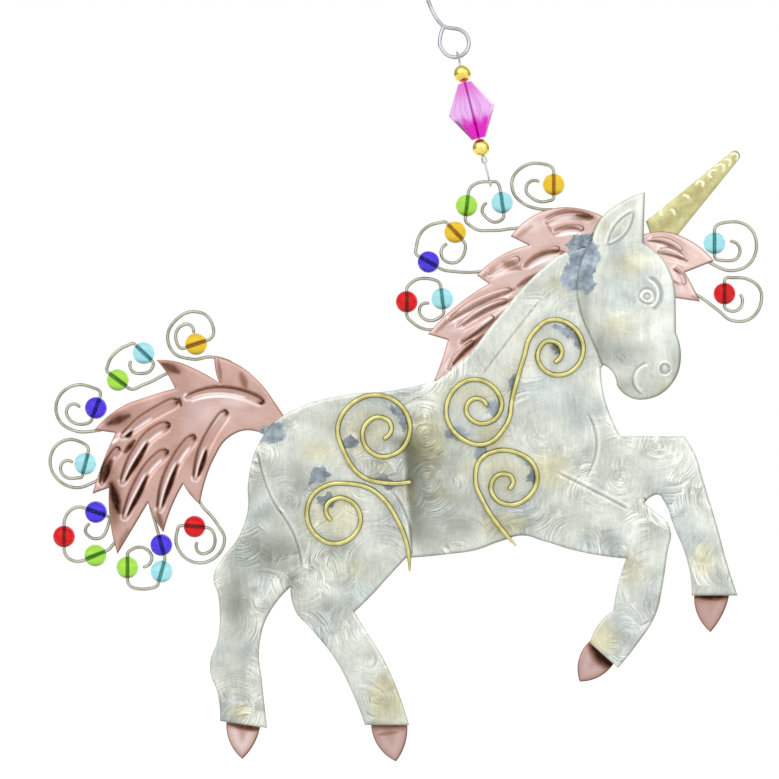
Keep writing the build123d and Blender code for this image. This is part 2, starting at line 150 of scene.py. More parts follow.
# a node tree in the making
class Finish:
    def __init__(self, tree):
        self.tree = tree
        tree.nodes.clear()

    def node(self, kind, settings, sockets, output=0):
        made = self.tree.nodes.new(kind)
        for name, value in settings.items():
            setattr(made, name, value)
        for name, value in sockets.items():
            if isinstance(value, Term):
                self.tree.links.new(value.socket, made.inputs[name])
            else:
                made.inputs[name].default_value = value
        return Term(self, made.outputs[output]) if len(made.outputs) else made

    def spot(self):  # the piece's own place, in millimetres
        where = self.node("ShaderNodeTexCoord", {}, {}, "Object")
        return self.node("ShaderNodeVectorMath", {"operation": "SCALE"}, {0: where, "Scale": 1 / mm})

    def split(self, vector):
        made = self.node("ShaderNodeSeparateXYZ", {}, {0: vector})
        return made.out("X"), made.out("Y"), made.out("Z")

    def join(self, x, y, z):
        return self.node("ShaderNodeCombineXYZ", {}, {0: x, 1: y, 2: z})

    def noise(self, vector, scale, detail=2.0, rough=0.5):
        sockets = {"Vector": vector, "Scale": scale, "Detail": detail, "Roughness": rough}
        return self.node("ShaderNodeTexNoise", {}, sockets)

    def mix(self, share, a, b):
        return self.node("ShaderNodeMix", {"data_type": "RGBA"}, {0: share, 6: a, 7: b}, 2)

    def shade(self, colour, amount):  # a colour made lighter or darker
        return self.node("ShaderNodeVectorMath", {"operation": "SCALE"}, {0: colour, "Scale": amount})

    def painted(self, name):  # a mask that the mesh carries
        return self.node("ShaderNodeAttribute", {"attribute_name": name}, {}, "Fac")

    def bump(self, height, strength, distance):
        sockets = {"Height": height, "Strength": strength, "Distance": distance}
        return self.node("ShaderNodeBump", {}, sockets, "Normal")

    def solderCover(self, spot):  # painted patches of solder with ragged edges
        ragged = self.painted("solder") + (self.noise(spot, 0.75, 5.0, 0.65) - 0.5) * 2.0
        return ragged.step(0.42, 0.56)

    def surface(self, sockets):
        made = self.node("ShaderNodeBsdfPrincipled", {}, sockets)
        self.node("ShaderNodeOutputMaterial", {}, {"Surface": made})


def newFinish(name):
    material = bpy.data.materials.new(name)
    material.use_nodes = True
    return material, Finish(material.node_tree)


# nickel silver: pale sheet with overlapping brushed swirls, warm stains and grey solder
nickel = {
    "pale": (0.69, 0.72, 0.655, 1), "cool": (0.53, 0.585, 0.57, 1), "warm": (0.67, 0.635, 0.40, 1),
    "shade": (0.12, 0.12, 0.07, 1), "solder": (0.135, 0.18, 0.235, 1), "solderLight": (0.50, 0.58, 0.67, 1),
    "lit": (0.95, 0.97, 0.93, 1),
    "swirl": 12.5, "swirlTwo": 8.6, "rings": 4.4, "patch": 0.06, "rough": 0.28, "wobble": 0.9,
}


# streaks round scattered centres, and the fans of light that they throw
def swirlRings(f, x, z, size, shift):
    where = f.join(x / size + shift, z / size + shift * 0.7, 0.0)
    cell = f.node("ShaderNodeTexVoronoi", {"voronoi_dimensions": "2D", "feature": "F1"},
                  {"Vector": where, "Scale": 1.0, "Randomness": 0.85}, "Position")
    dx, dy, _ = f.split(f.node("ShaderNodeVectorMath", {"operation": "SUBTRACT"}, {0: where, 1: cell}))
    away = (dx * dx + dy * dy) ** 0.5
    angle = dx.maths("ARCTAN2", dy, dx)
    cellX, cellY, _ = f.split(cell)
    along = f.join(away * size * nickel["rings"], angle * 0.9 + cellX * 7.3, cellY * 3.1)
    streak = f.noise(along, 1.0, 2.0, 0.55)
    turned = angle * 2.0 + cellX * 5.0
    return streak, turned.maths("SINE", turned) * 0.5 + 0.5


def makeNickel():
    material, f = newFinish("nickelSilver")
    spot = f.spot()
    bent = f.node("ShaderNodeVectorMath", {"operation": "SCALE"},
                  {0: f.noise(spot, 0.35, 2.0).out("Color"), "Scale": nickel["wobble"]})
    x, y, z = f.split(f.node("ShaderNodeVectorMath", {"operation": "ADD"}, {0: spot, 1: bent}))
    one, fanOne = swirlRings(f, x, z, nickel["swirl"], 3.7)
    two, fanTwo = swirlRings(f, x, z, nickel["swirlTwo"], 9.1)
    which = f.noise(spot, 0.2, 1.0).step(0.44, 0.56)
    streak = one * which + two * (1 - which)
    fan = fanOne * which + fanTwo * (1 - which)
    cover = (0.22 + 0.78 * f.noise(spot, 0.11, 2.0).step(0.40, 0.60)) * (1 - f.painted("calm"))
    fine = f.noise(spot, 3.2, 3.0, 0.6)
    brush = f.noise(f.join(x * 2.4, y, z * 0.3), 1.0, 3.0, 0.6)
    cloud = f.noise(spot, nickel["patch"], 3.0, 0.55)
    warmth = (f.painted("warm") * 0.9 + cloud - 0.5).step(0.08, 0.55)
    coolness = f.noise(f.join(x + 31.0, z, 0.0), nickel["patch"] * 1.7, 2.0).step(0.45, 0.68)
    colour = f.mix(coolness * 0.85, nickel["pale"], nickel["cool"])
    colour = f.mix(warmth * 0.75, colour, nickel["warm"])
    # painted glints: small bright flecks on the streaks
    glint = f.noise(spot, 1.3, 2.0).step(0.62, 0.74) * streak.step(0.5, 0.62)
    murk = f.noise(f.join(x, z + 17.0, 0.0), 0.16, 3.0, 0.6) - 0.5
    # painted sheen: the streaks brighten most in their fans of light
    swirl = (streak - 0.5) * (0.7 + 2.4 * fan) + (fan - 0.5) * 0.36
    grain = (fine - 0.5) * 0.3 + (brush - 0.5) * 0.4
    light = 0.95 + cover * swirl + grain + murk * 0.9 + cover * glint * 0.6
    colour = f.shade(colour, light)
    # painted highlights: the lit lips of the chased lines and the bright patches
    colour = f.mix(f.painted("lit"), colour, nickel["lit"])
    solder = f.solderCover(spot)
    blot = f.noise(spot, 0.4, 4.0, 0.6).step(0.30, 0.76)
    colour = f.mix(solder * 0.92, colour, f.mix(blot, nickel["solder"], nickel["solderLight"]))
    # painted shade: the tone mask darkens grooves, the sheet beside the wires, the hollow by the thigh, the rims
    # and dark patches
    colour = f.mix(f.painted("tone"), colour, nickel["shade"])
    height = cover * streak * 0.1 + fine * 0.15 + solder * (blot * 0.8 + 1.0)
    f.surface({
        "Base Color": colour, "Metallic": 1.0,
        "Roughness": nickel["rough"] + cover * (streak - 0.5) * 0.2 + solder * 0.14,
        "Normal": f.bump(height, 0.3, 0.05 * mm),
    })
    return material


# copper: rosy polished sheet with brown flame marks, painted shade in its hollows and folds, and painted
# highlights on its flutes
copper = {
    "rose": (0.645, 0.42, 0.365, 1), "deep": (0.45, 0.255, 0.20, 1), "brown": (0.030, 0.009, 0.006, 1),
    "rust": (0.29, 0.135, 0.085, 1), "mauve": (0.34, 0.20, 0.185, 1), "violet": (0.46, 0.30, 0.32, 1),
    "glow": (1.0, 0.88, 0.87, 1), "solder": (0.16, 0.195, 0.23, 1), "solderLight": (0.40, 0.46, 0.52, 1),
    "rough": 0.22,
}


def makeCopper():
    material, f = newFinish("copperSheet")
    spot = f.spot()
    x, y, z = f.split(spot)
    cloud = f.noise(spot, 0.17, 3.0, 0.55)
    scratch = f.noise(f.join(x * 0.8 + z * 0.6, y, (z - x) * 5.0), 1.1, 3.0, 0.6)
    colour = f.mix(cloud.step(0.40, 0.70) * 0.6, copper["rose"], copper["deep"])
    colour = f.mix(f.noise(spot, 0.1, 2.0).step(0.5, 0.72) * 0.35, colour, copper["violet"])
    colour = f.shade(colour, 0.98 + (scratch - 0.5) * 0.3)
    # painted shade on the flutes' upper walls, and each hoof darkened toward mauve by its own amount
    colour = f.mix(f.painted("blush"), colour, copper["mauve"])
    # painted highlights: pale bands on the flutes and ridges, lightened locks and hoof middles
    colour = f.mix(f.painted("glow"), colour, copper["glow"])
    # flame marks are stains; the recess mask is painted shade in hollows, folds, under the cuffs and along rims;
    # both darken through orange brown to deep brown
    flame = f.painted("tone") * f.noise(spot, 0.4, 3.0).step(0.12, 0.5)
    dark = (f.painted("recess").most(flame) * (0.72 + 0.6 * f.noise(spot, 1.1, 3.0, 0.6))).least(1.0)
    colour = f.mix(1 - (1 - dark) ** 2.0, colour, copper["rust"])
    colour = f.mix(dark ** 1.6, colour, copper["brown"])
    solder = f.solderCover(spot)
    blot = f.noise(spot, 0.9, 4.0, 0.65).step(0.36, 0.70)
    colour = f.mix(solder, colour, f.mix(blot, copper["solder"], copper["solderLight"]))
    f.surface({
        "Base Color": colour, "Metallic": 1.0,
        "Roughness": copper["rough"] + (scratch - 0.5) * 0.16 + cloud * 0.08 + solder * 0.15,
        "Normal": f.bump(scratch * 0.5 + cloud, 0.2, 0.05 * mm),
    })
    return material


# brass sheet of the horn, and drawn wire
brass = {"pale": (0.57, 0.55, 0.28, 1), "deep": (0.36, 0.32, 0.13, 1), "glow": (0.92, 0.90, 0.66, 1),
         "rough": 0.32}


def makeHornBrass():
    material, f = newFinish("hornBrass")
    spot = f.spot()
    x, y, z = f.split(spot)
    drag = f.noise(f.join((x - z) * 4.0, y, (x + z) * 0.5), 1.0, 3.0, 0.6)
    cloud = f.noise(spot, 0.45, 4.0, 0.6)
    colour = f.mix(cloud.step(0.36, 0.68) * 0.7, brass["pale"], brass["deep"])
    colour = f.shade(colour, 0.98 + (drag - 0.5) * 0.3)
    # painted shade along the edges, and painted highlights where the glow mask is set
    colour = f.mix(f.painted("recess") * 0.6, colour, brass["deep"])
    colour = f.mix(f.painted("glow") * 0.85, colour, brass["glow"])
    f.surface({
        "Base Color": colour, "Metallic": 1.0, "Roughness": brass["rough"] + (drag - 0.5) * 0.2,
        "Normal": f.bump(drag, 0.2, 0.05 * mm),
    })
    return material


def makeWire(name, pale, deep, rough, mottle):
    material, f = newFinish(name)
    spot = f.spot()
    cloud = f.noise(spot, mottle, 3.0, 0.6)
    die = f.noise(spot, 9.0, 2.0)
    colour = f.shade(f.mix(cloud.step(0.38, 0.68), pale, deep), 0.97 + (die - 0.5) * 0.2)
    # painted shade: the wire's sides darkened, more on the lower right
    colour = f.shade(colour, 1 - 0.75 * f.painted("patina"))
    f.surface({
        "Base Color": colour, "Metallic": 1.0, "Roughness": rough + (cloud - 0.5) * 0.14,
        "Normal": f.bump(die, 0.12, 0.03 * mm),
    })
    return material


# coloured glass: clear, with faint swirls in the tint
def makeGlass(name, tint, deep):
    material, f = newFinish(name)
    cloud = f.noise(f.spot(), 0.5, 2.0).step(0.35, 0.7)
    f.surface({
        "Base Color": f.mix(cloud * 0.4, tint, deep), "Transmission Weight": 1.0, "IOR": 1.3,
        "Roughness": 0.02 + cloud * 0.02,
    })
    return material


# cut crystal: pale pink, its lower point steeped in magenta
crystalGlass = {"pale": (0.88, 0.50, 0.90, 1), "deep": (0.80, 0.03, 0.58, 1), "rib": (0.66, 0.22, 0.70, 1),
                "ribs": 10, "from": 0.9, "to": 2.4}


def makeCrystal():
    material, f = newFinish("pinkCrystal")
    low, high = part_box("bicone_bead")
    middle = (low + high) / 2 / mm
    way = next(Vector(j["axis"]).normalized() for j in frame["joints"] if j["name"] == "bicone_spin")
    way = -way if way.z > 0 else way
    x, y, z = f.split(f.spot())
    down = (x - middle.x) * way.x + (z - middle.z) * way.z
    across = (x - middle.x) * way.z - (z - middle.z) * way.x
    turn = across.maths("ARCTAN2", y - middle.y, across) * (crystalGlass["ribs"] / 2)
    rib = abs(turn.maths("SINE", turn))
    drift = f.noise(f.spot(), 0.9, 2.0) - 0.5
    depth = (down + rib * 1.1 - 0.5 + drift).step(crystalGlass["from"], crystalGlass["to"])
    depth = depth.most((rib * 0.8 - down + drift).step(1.2, 5.4) * 0.6)
    colour = f.mix((1 - rib).step(0.6, 1.0) * 0.85, crystalGlass["pale"], crystalGlass["rib"])
    f.surface({
        "Base Color": f.mix(depth, colour, crystalGlass["deep"]), "Transmission Weight": 1.0,
        "IOR": 1.13, "Roughness": 0.04 + depth * 0.03,
    })
    return material


finishes = {
    "nickel_silver": makeNickel(),
    "copper": makeCopper(),
    "horn_brass": makeHornBrass(),
    "scroll_brass": makeWire("scrollBrass", (0.72, 0.68, 0.29, 1), (0.53, 0.48, 0.17, 1), 0.15, 0.35),
    "curl_wire": makeWire("curlBrass", (0.54, 0.535, 0.44, 1), (0.38, 0.365, 0.27, 1), 0.16, 0.3),
    "steel_wire": makeWire("steelWire", (0.66, 0.67, 0.72, 1), (0.46, 0.47, 0.51, 1), 0.25, 0.3),
    "gold_plate": makeWire("goldPlate", (0.94, 0.80, 0.26, 1), (0.82, 0.66, 0.13, 1), 0.1, 0.25),
    "pink_crystal": makeCrystal(),
    "red_glass": makeGlass("redGlass", (0.74, 0.008, 0.012, 1), (0.62, 0.005, 0.008, 1)),
    "blue_glass": makeGlass("blueGlass", (0.09, 0.045, 0.78, 1), (0.05, 0.022, 0.62, 1)),
    "aqua_glass": makeGlass("aquaGlass", (0.41, 0.80, 0.86, 1), (0.29, 0.70, 0.79, 1)),
    "green_glass": makeGlass("greenGlass", (0.42, 0.77, 0.09, 1), (0.33, 0.68, 0.045, 1)),
    "amber_glass": makeGlass("amberGlass", (0.86, 0.59, 0.03, 1), (0.78, 0.46, 0.015, 1)),
}
print("finishes mixed:", len(finishes))

# names in the frame: each node's finish and body, and its piece's own name
slotOf = {row["node"]: row["material_slot"] for row in frame["record"]["subparts"]}
bodyOf = {node: body for body, nodes in frame["record"]["behaviour"]["bodies"].items() for node in nodes}


def nameOf(node):
    first, *rest = node.split("_")
    return first + "".join(word.title() for word in rest)


# every piece goes on its body, hides its solid and takes its finish
def setPiece(name, node, vertices, faces, sharp, masks=None):
    mesh = bpy.data.meshes.new(name)
    mesh.from_pydata(vertices, [], faces)
    mesh.validate()
    mesh.shade_smooth()
    mesh.set_sharp_from_angle(angle=math.radians(sharp))
    for mask, values in (masks or {}).items():
        mesh.attributes.new(mask, "FLOAT", "POINT").data.foreach_set("value", np.asarray(values, np.float32))
    mesh.materials.append(finishes[slotOf[node]])
    piece = bpy.data.objects.new(name, mesh)
    bpy.context.scene.collection.objects.link(piece)
    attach(piece, bodyOf[node])
    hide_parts(node)


lowerRight = cmath.exp(-0.25j * math.pi)  # the side where edges carry the most painted shade


# round wire along a flat path, its ends rounded off or drawn to a point
def drawWire(path, radius, sides, axes, taper=0.0, tipShare=0.35):
    origin, along, across, out = axes
    steps = [abs(b - a) for a, b in zip(path, path[1:])]
    total = sum(steps)
    gone = 0.0
    rings = []
    for k, spot in enumerate(path):
        ahead = path[min(k + 1, len(path) - 1)] - path[max(k - 1, 0)]
        ahead /= abs(ahead)
        left = total - gone
        slim = 1.0 if left >= taper else tipShare + (1 - tipShare) * left / taper
        rings.append((spot, ahead, radius * slim))
        if k < len(steps):
            gone += steps[k]
    head, tail = rings[0], rings[-1]
    for cap in (25, 50, 75):  # rounded ends
        high, wide = math.sin(math.radians(cap)), math.cos(math.radians(cap))
        rings.insert(0, (head[0] - head[1] * head[2] * high, head[1], head[2] * wide))
        rings.append((tail[0] + tail[1] * tail[2] * high, tail[1], tail[2] * wide))
    vertices, faces, patina = [], [], []
    for spot, ahead, size in rings:
        for j in range(sides):
            turn = 2 * math.pi * j / sides
            edge = 1j * ahead * math.cos(turn)
            flat = spot + edge * size
            vertices.append(origin + along * flat.real + across * flat.imag + out * size * math.sin(turn))
            # painted shade on the wire's sides, heavier on the lower right
            heavy = max(0.0, (edge * lowerRight.conjugate()).real)
            patina.append(min(1.0, max(0.0, abs(edge) * 2.2 - 0.9)) * (0.55 + 0.45 * heavy))
    for k in range(len(rings) - 1):
        for j in range(sides):
            i = (j + 1) % sides
            faces.append((k * sides + j, k * sides + i, (k + 1) * sides + i, (k + 1) * sides + j))
    faces.append(tuple(reversed(range(sides))))
    faces.append(tuple((len(rings) - 1) * sides + j for j in range(sides)))
    return vertices, faces, patina


wireSharp = 50  # degrees past which an edge stays sharp


def setWire(node, path, wire, taper=0.0):  # a wire that lies in the sheet's plane
    low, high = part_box(node)
    axes = (Vector((0, (low.y + high.y) / 2, 0)), Vector((1, 0, 0)), Vector((0, 0, 1)), Vector((0, 1, 0)))
    vertices, faces, patina = drawWire(path, wire["radius"], wire["sides"], axes, taper)
    setPiece(nameOf(node), node, vertices, faces, wireSharp, {"patina": patina})


# curls: each stop is a place, or a bead's place with its heading
hang = {"u": 490, "v": 181, "half": 0.8 * mm}
curls = {
    "radius": 0.29 * mm, "sides": 14, "beadHalf": 2.2 * mm,
    "tail": [
        [(230, 362), (212, 357), (191, 359), (173, 352.5), (167, 335), (175, 320), (191, 311.5), (208, 317.5),
         (195.5, 344, 199), (175, 336.5), (181, 325.5), (189, 324.5), (193, 331.5)],
        [(176, 369), (163, 375), (146, 383.5), (117, 380, 142), (108, 362), (115, 352.5), (125, 346),
         (143, 353, -45), (150, 370), (141, 373.5), (131, 370.5), (129.5, 362)],
        [(110, 427), (94, 431), (74, 431), (58, 420), (55.5, 403), (67, 388), (85, 385.5), (95, 408, -110),
         (80, 424.5), (69, 420), (65.5, 411), (70, 404.5), (78, 406.5)],
        [(106, 474), (93, 482.5), (75, 488), (56, 479), (49, 462), (58, 443.5), (75, 440.5),
         (84.4, 464, -104),
         (74, 478.5), (63.5, 476.5), (59.5, 468), (63.5, 461.5), (70.5, 462)],
        [(122, 528), (113, 544), (94.5, 556, 203), (63, 537, 90), (95, 512.5, -20), (106.5, 528), (99, 538.5),
         (89, 537.5), (84.5, 531), (87.5, 525)],
        [(150, 508), (155, 525), (160.6, 545.5, -75), (160.9, 572, -105), (146, 589.5), (126.6, 568, 90),
         (134, 548.5), (146, 550), (151, 559.5), (143.5, 567.5)],
        [(193, 488), (199.5, 503), (215, 522), (224, 541), (214.5, 558), (198, 563.5), (180.5, 554),
         (175.5, 537),
         (194, 527, -5), (214.5, 540), (208.5, 552.5), (198.5, 553), (196, 544)],
    ],
    "mane": [
        [(575, 213), (556, 209.5), (540, 208.5), (524, 203), (513.5, 191), (513, 178), (522, 167),
         (537, 162.5),
         (554.3, 184, -90), (546, 201), (534, 198.5), (526.5, 189), (530.5, 181), (538.5, 180.5)],
        [(532, 226), (514, 228), (494, 230), (474, 227.5), (467, 205, 83), (hang["u"], hang["v"], 0),
         (502.5, 202, -82), (497, 221.5), (487, 217.5), (482.5, 209), (486, 203)],
        [(497, 269), (479, 271.5), (458, 271.5), (428.7, 261.5, 150), (417, 243), (424, 229), (438, 222.5),
         (455.5, 231.7, -48), (464.5, 253), (454, 262.5), (443.5, 258.5), (441.5, 250), (446, 244)],
        [(447, 323), (431, 329.5), (414, 323.5), (406.8, 301.5, 90), (412, 282), (426, 278),
         (442.5, 298.5, -83),
         (437, 319), (426, 319.5), (419.5, 311), (422.5, 304), (428, 303)],
    ],
    "forelock": [
        [(698, 254), (713, 264), (732, 270.5), (749, 264.5), (757, 247), (749, 226.5), (733, 221.5),
         (715, 243, -90),
         (727, 260.5), (738, 257.5), (740, 247.5), (732, 241)],
        [(684, 289), (699, 296), (717, 309), (733, 320.5), (750, 319), (761, 305), (760, 288), (748, 279),
         (738, 277.5),
         (725, 293.5, -90), (731.5, 311), (739.5, 309), (743, 301.5), (741.5, 295.5)],
    ],
}


def wireStops(route):
    stops = []
    for stop in route:
        spot = place(stop[0], stop[1])
        if len(stop) == 2:
            stops.append((spot, None))
            continue
        half = hang["half"] if stop[:2] == (hang["u"], hang["v"]) else curls["beadHalf"]
        run = cmath.exp(1j * math.radians(stop[2])) * half
        stops += [(spot - run, stop[2]), (spot + run, stop[2])]
    return stops


for lock in ("tail", "mane", "forelock"):
    for number, route in enumerate(curls[lock], 1):
        setWire(f"{lock}_curl_{number}", smoothRun(wireStops(route), wireFine), curls)
print("curls bent")

# scrolls on the body
scrolls = {
    "radius": 0.47 * mm, "sides": 18, "taper": 3.0 * mm, "pointed": ("scroll_rump_lower", "scroll_belly"),
    "scroll_rump_upper": [
        (385, 438), (391, 425), (380, 417), (366, 424), (364, 443), (379, 456), (398, 452), (410, 430),
        (402, 407),
        (378, 395), (352, 403.5), (338, 426), (344, 452), (362, 476), (387, 483), (409, 482)],
    "scroll_rump_lower": [
        (330, 519), (326.5, 506), (337, 498), (352, 502), (360.5, 517), (354, 535), (336, 543.5), (315, 534),
        (307, 513), (313, 495), (329, 484.5), (349, 483.5), (369, 488), (383, 498.5), (397, 519), (407, 545),
        (409.5, 570)],
    "scroll_shoulder": [
        (556, 361.5), (561.5, 350), (549, 341), (538, 352), (544, 370), (560, 375), (577, 366), (583, 349),
        (573, 327), (551, 320), (533, 333), (522, 363), (513, 395), (506, 425), (485, 444), (461, 438),
        (446, 412), (453, 391), (474, 379.5), (494, 388), (501.5, 406), (492, 421), (475, 422), (466, 409),
        (475, 398.5), (486, 404)],
    "scroll_belly": [
        (510, 488), (512, 478), (501, 474), (491, 485), (495, 498), (511, 504.5), (529, 496), (537, 479),
        (533, 464), (518, 453), (498, 450.5), (480, 460), (475.5, 480), (485, 505), (503, 531), (515.5, 545)],
}
scrollRoutes = {node: route for node, route in scrolls.items() if node.startswith("scroll_")}
for node, route in scrollRoutes.items():
    taper = scrolls["taper"] if node in scrolls["pointed"] else 0.0
    setWire(node, smoothRun(wireStops(route), wireFine), scrolls, taper)
print("scrolls bent")

# hanger: hook, link, gold balls, crystal and crimp
hook = {"radius": 0.34 * mm, "sides": 16, "crook": 5.6 * mm, "wire": 0.7 * mm, "eye": 2.55 * mm,
        "eyeU": 455, "eyeV": 42, "flare": 0.9 * mm, "drop": 2.6 * mm, "turns": (60, 0, -90, -150),
        "stem": [(428.7, 0, -72), (436.4, 16.8, -57), (448, 26.5, -8)],
        "end": [(439.8, 42, 90), (441.7, 30.5, 72), (443.2, 26.6, 64)]}
crookCentre = place(sheet["u"], sheet["v"]) + 1j * (hook["wire"] / 2 - hook["crook"])
eyeCentre = place(hook["eyeU"], hook["eyeV"])
crook = hook["crook"]
hookStops = [
    (crookCentre + complex(crook + hook["flare"], -hook["drop"]), None), (crookCentre + crook, 90),
    (crookCentre + 1j * crook, 180), (crookCentre - crook, -90),
]
hookStops += [(place(u, v), way) for u, v, way in hook["stem"]]
hookStops += [(eyeCentre + hook["eye"] * cmath.exp(1j * math.radians(a)), a - 90) for a in hook["turns"]]
hookStops += [(place(u, v), way) for u, v, way in hook["end"]]
setWire("hanger_hook", smoothRun(hookStops, wireFine), hook)

link = {"radius": 0.19 * mm, "sides": 12, "wire": 0.4 * mm, "curlWire": 0.6 * mm, "play": 0.2 * mm,
        "bend": 0.5 * mm, "gap": 0.5 * mm, "corner": math.cos(math.pi / 6)}
hangPlace = place(hang["u"], hang["v"])
linkWay = (hangPlace - eyeCentre) / abs(hangPlace - eyeCentre)


def loopStops(held):  # from the loop's open end to the stem that leaves along x
    radius = (held + link["wire"]) / 2 / link["corner"] + link["play"]
    bend = link["bend"]
    drop = math.sqrt((radius + bend) ** 2 - bend ** 2)
    join = math.degrees(math.atan2(bend, drop))
    finish = join + 2 * math.degrees(math.asin((link["gap"] + link["wire"]) / 2 / radius))
    turns = (-finish, (join - 360 - finish) / 2, join - 360)
    return [(radius * cmath.exp(1j * math.radians(a)), a - 90) for a in turns] + [(complex(drop), 0)]


upperLoop = [(spot + hook["eye"], way) for spot, way in loopStops(hook["wire"])]
lowerLoop = [(abs(hangPlace - eyeCentre) - spot, way) for spot, way in loopStops(link["curlWire"])]
linkPath = smoothRun(upperLoop + lowerLoop[::-1], wireFine)
linkAlong = Vector((linkWay.real, 0, linkWay.imag))
toViewer = Vector((0, -1, 0))
linkAxes = (Vector((eyeCentre.real, 0, eyeCentre.imag)), linkAlong, toViewer, linkAlong.cross(toViewer))
vertices, faces, _ = drawWire(linkPath, link["radius"], link["sides"], linkAxes)
setPiece("linkWire", "link_wire", vertices, faces, wireSharp)


# turned pieces: a closed profile of radius and height, spun round an axis
def turnProfile(profile, sides, centre, axis):
    side = axis.cross(Vector((0, 1, 0))).normalized()
    front = axis.cross(side)
    vertices, faces = [], []
    for radius, height in profile:
        for j in range(sides):
            a = 2 * math.pi * j / sides
            vertices.append(centre + axis * height + (side * math.cos(a) + front * math.sin(a)) * radius)
    count = len(profile)
    for k in range(count):
        for j in range(sides):
            i, m = (j + 1) % sides, (k + 1) % count
            faces.append((k * sides + j, k * sides + i, m * sides + i, m * sides + j))
    return vertices, faces


def ballProfile(radius, bore, lip, rings):  # a bored ball with a softened mouth at each end
    reach = math.degrees(math.acos((bore + lip) / radius))
    outer = []
    for k in range(rings + 1):
        a = math.radians(-reach + 2 * reach * k / rings)
        outer.append((radius * math.cos(a), radius * math.sin(a)))
    deep = outer[-1][1] - lip
    return [(bore, -deep)] + outer + [(bore, deep)]


beads = {"radius": 1.98 * mm, "bore": 0.40 * mm, "lip": 0.12 * mm, "rings": 26, "sides": 40}
goldBall = {"radius": 1.58 * mm, "bore": 0.30 * mm, "lip": 0.10 * mm, "rings": 20, "sides": 32}
crystal = {"width": 4.2 * mm, "height": 5.18 * mm, "end": 1.25 * mm, "bore": 0.30 * mm, "girdle": 0.14 * mm,
           "sides": 10}
for joint in frame["joints"]:
    if not joint.get("continuous"):
        continue
    node = frame["record"]["behaviour"]["bodies"][joint["child"]][0]
    low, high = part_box(node)
    centre, axis = (low + high) / 2, Vector(joint["axis"]).normalized()
    if node == "bicone_bead":
        c = crystal
        profile = [(c["bore"], -c["height"]), (c["end"], -c["height"]), (c["width"], -c["girdle"]),
                   (c["width"], c["girdle"]), (c["end"], c["height"]), (c["bore"], c["height"])]
        vertices, faces = turnProfile(profile, c["sides"], centre, axis)
        setPiece("pinkBicone", node, vertices, faces, 15)
        continue
    b = goldBall if node.startswith("gold") else beads
    profile = ballProfile(b["radius"], b["bore"], b["lip"], b["rings"])
    vertices, faces = turnProfile(profile, b["sides"], centre, axis)
    setPiece(nameOf(node), node, vertices, faces, 40)

crimp = {"radius": 0.52 * mm, "bore": 0.21 * mm, "half": 0.58 * mm, "soft": 0.1 * mm, "sides": 24}
low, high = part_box("crimp_tube")
c = crimp
profile = [(c["bore"], -c["half"]), (c["radius"] - c["soft"], -c["half"]),
           (c["radius"], c["soft"] - c["half"]),
           (c["radius"], c["half"] - c["soft"]), (c["radius"] - c["soft"], c["half"]), (c["bore"], c["half"])]
vertices, faces = turnProfile(profile, c["sides"], (low + high) / 2, linkAlong)
setPiece("crimpTube", "crimp_tube", vertices, faces, 30)
print("beads threaded")


# sheet metal: the outline filled with a fine net, then pressed into relief
gauges = {"nickel": 0.8 * mm, "copper": 0.6 * mm, "horn": 0.8 * mm}


def lineOf(points, fine=lineFine):  # a smooth line through a few places, on the grid
    return smoothRun([(complex(u, -v), None) for u, v in points], fine)


def outlineOf(runs):  # a closed outline with a corner between its runs
    return [spot for run in runs for spot in lineOf(run, rimFine)[:-1]]


def toLine(spots, line):  # distance to a line, the share of its length there, and the side
    best = np.full(len(spots), 1e9)
    share, side = np.zeros(len(spots)), np.zeros(len(spots))
    lengths = [abs(b - a) for a, b in zip(line, line[1:])]
    total, gone = sum(lengths), 0.0
    for a, b, length in zip(line, line[1:], lengths):
        way = (b - a) / length
        local = (spots - a) * way.conjugate()
        run = np.clip(local.real, 0, length)
        away = np.abs(local - run)
        closer = away < best
        best[closer] = away[closer]
        share[closer] = (gone + run[closer]) / total
        side[closer] = np.sign(local.imag[closer])
        gone += length
    return best, share, side


def toRim(spots, ring):  # distance to a closed outline, and the way out of it
    tree = kdtree.KDTree(len(ring))
    for k, spot in enumerate(ring):
        tree.insert((spot.real, spot.imag, 0), k)
    tree.balance()
    near = np.array([tree.find((s.real, s.imag, 0))[1] for s in spots.tolist()])
    rim = np.array(ring)
    best, out = np.full(len(spots), 1e9), np.zeros(len(spots), complex)
    leftHand = (rim.conj() * np.roll(rim, -1)).imag.sum() > 0
    for shift in (-1, 0):
        a, b = rim[(near + shift) % len(rim)], rim[(near + shift + 1) % len(rim)]
        way = (b - a) / np.abs(b - a)
        local = (spots - a) * way.conj()
        away = np.abs(local - np.clip(local.real, 0, np.abs(b - a)))
        out = np.where(away < best, way * (-1j if leftHand else 1j), out)
        best = np.minimum(best, away)
    return best, out


def inside(spots, ring):
    result = np.zeros(len(spots), bool)
    for a, b in zip(ring, ring[1:] + ring[:1]):
        if a.imag == b.imag:
            continue
        crosses = (a.imag > spots.imag) != (b.imag > spots.imag)
        at = a.real + (spots.imag - a.imag) * (b.real - a.real) / (b.imag - a.imag)
        result ^= crosses & (spots.real < at)
    return result


def ease(x):
    x = np.clip(x, 0, 1)
    return x * x * (3 - 2 * x)


def bell(x):
    return np.exp(-x * x)


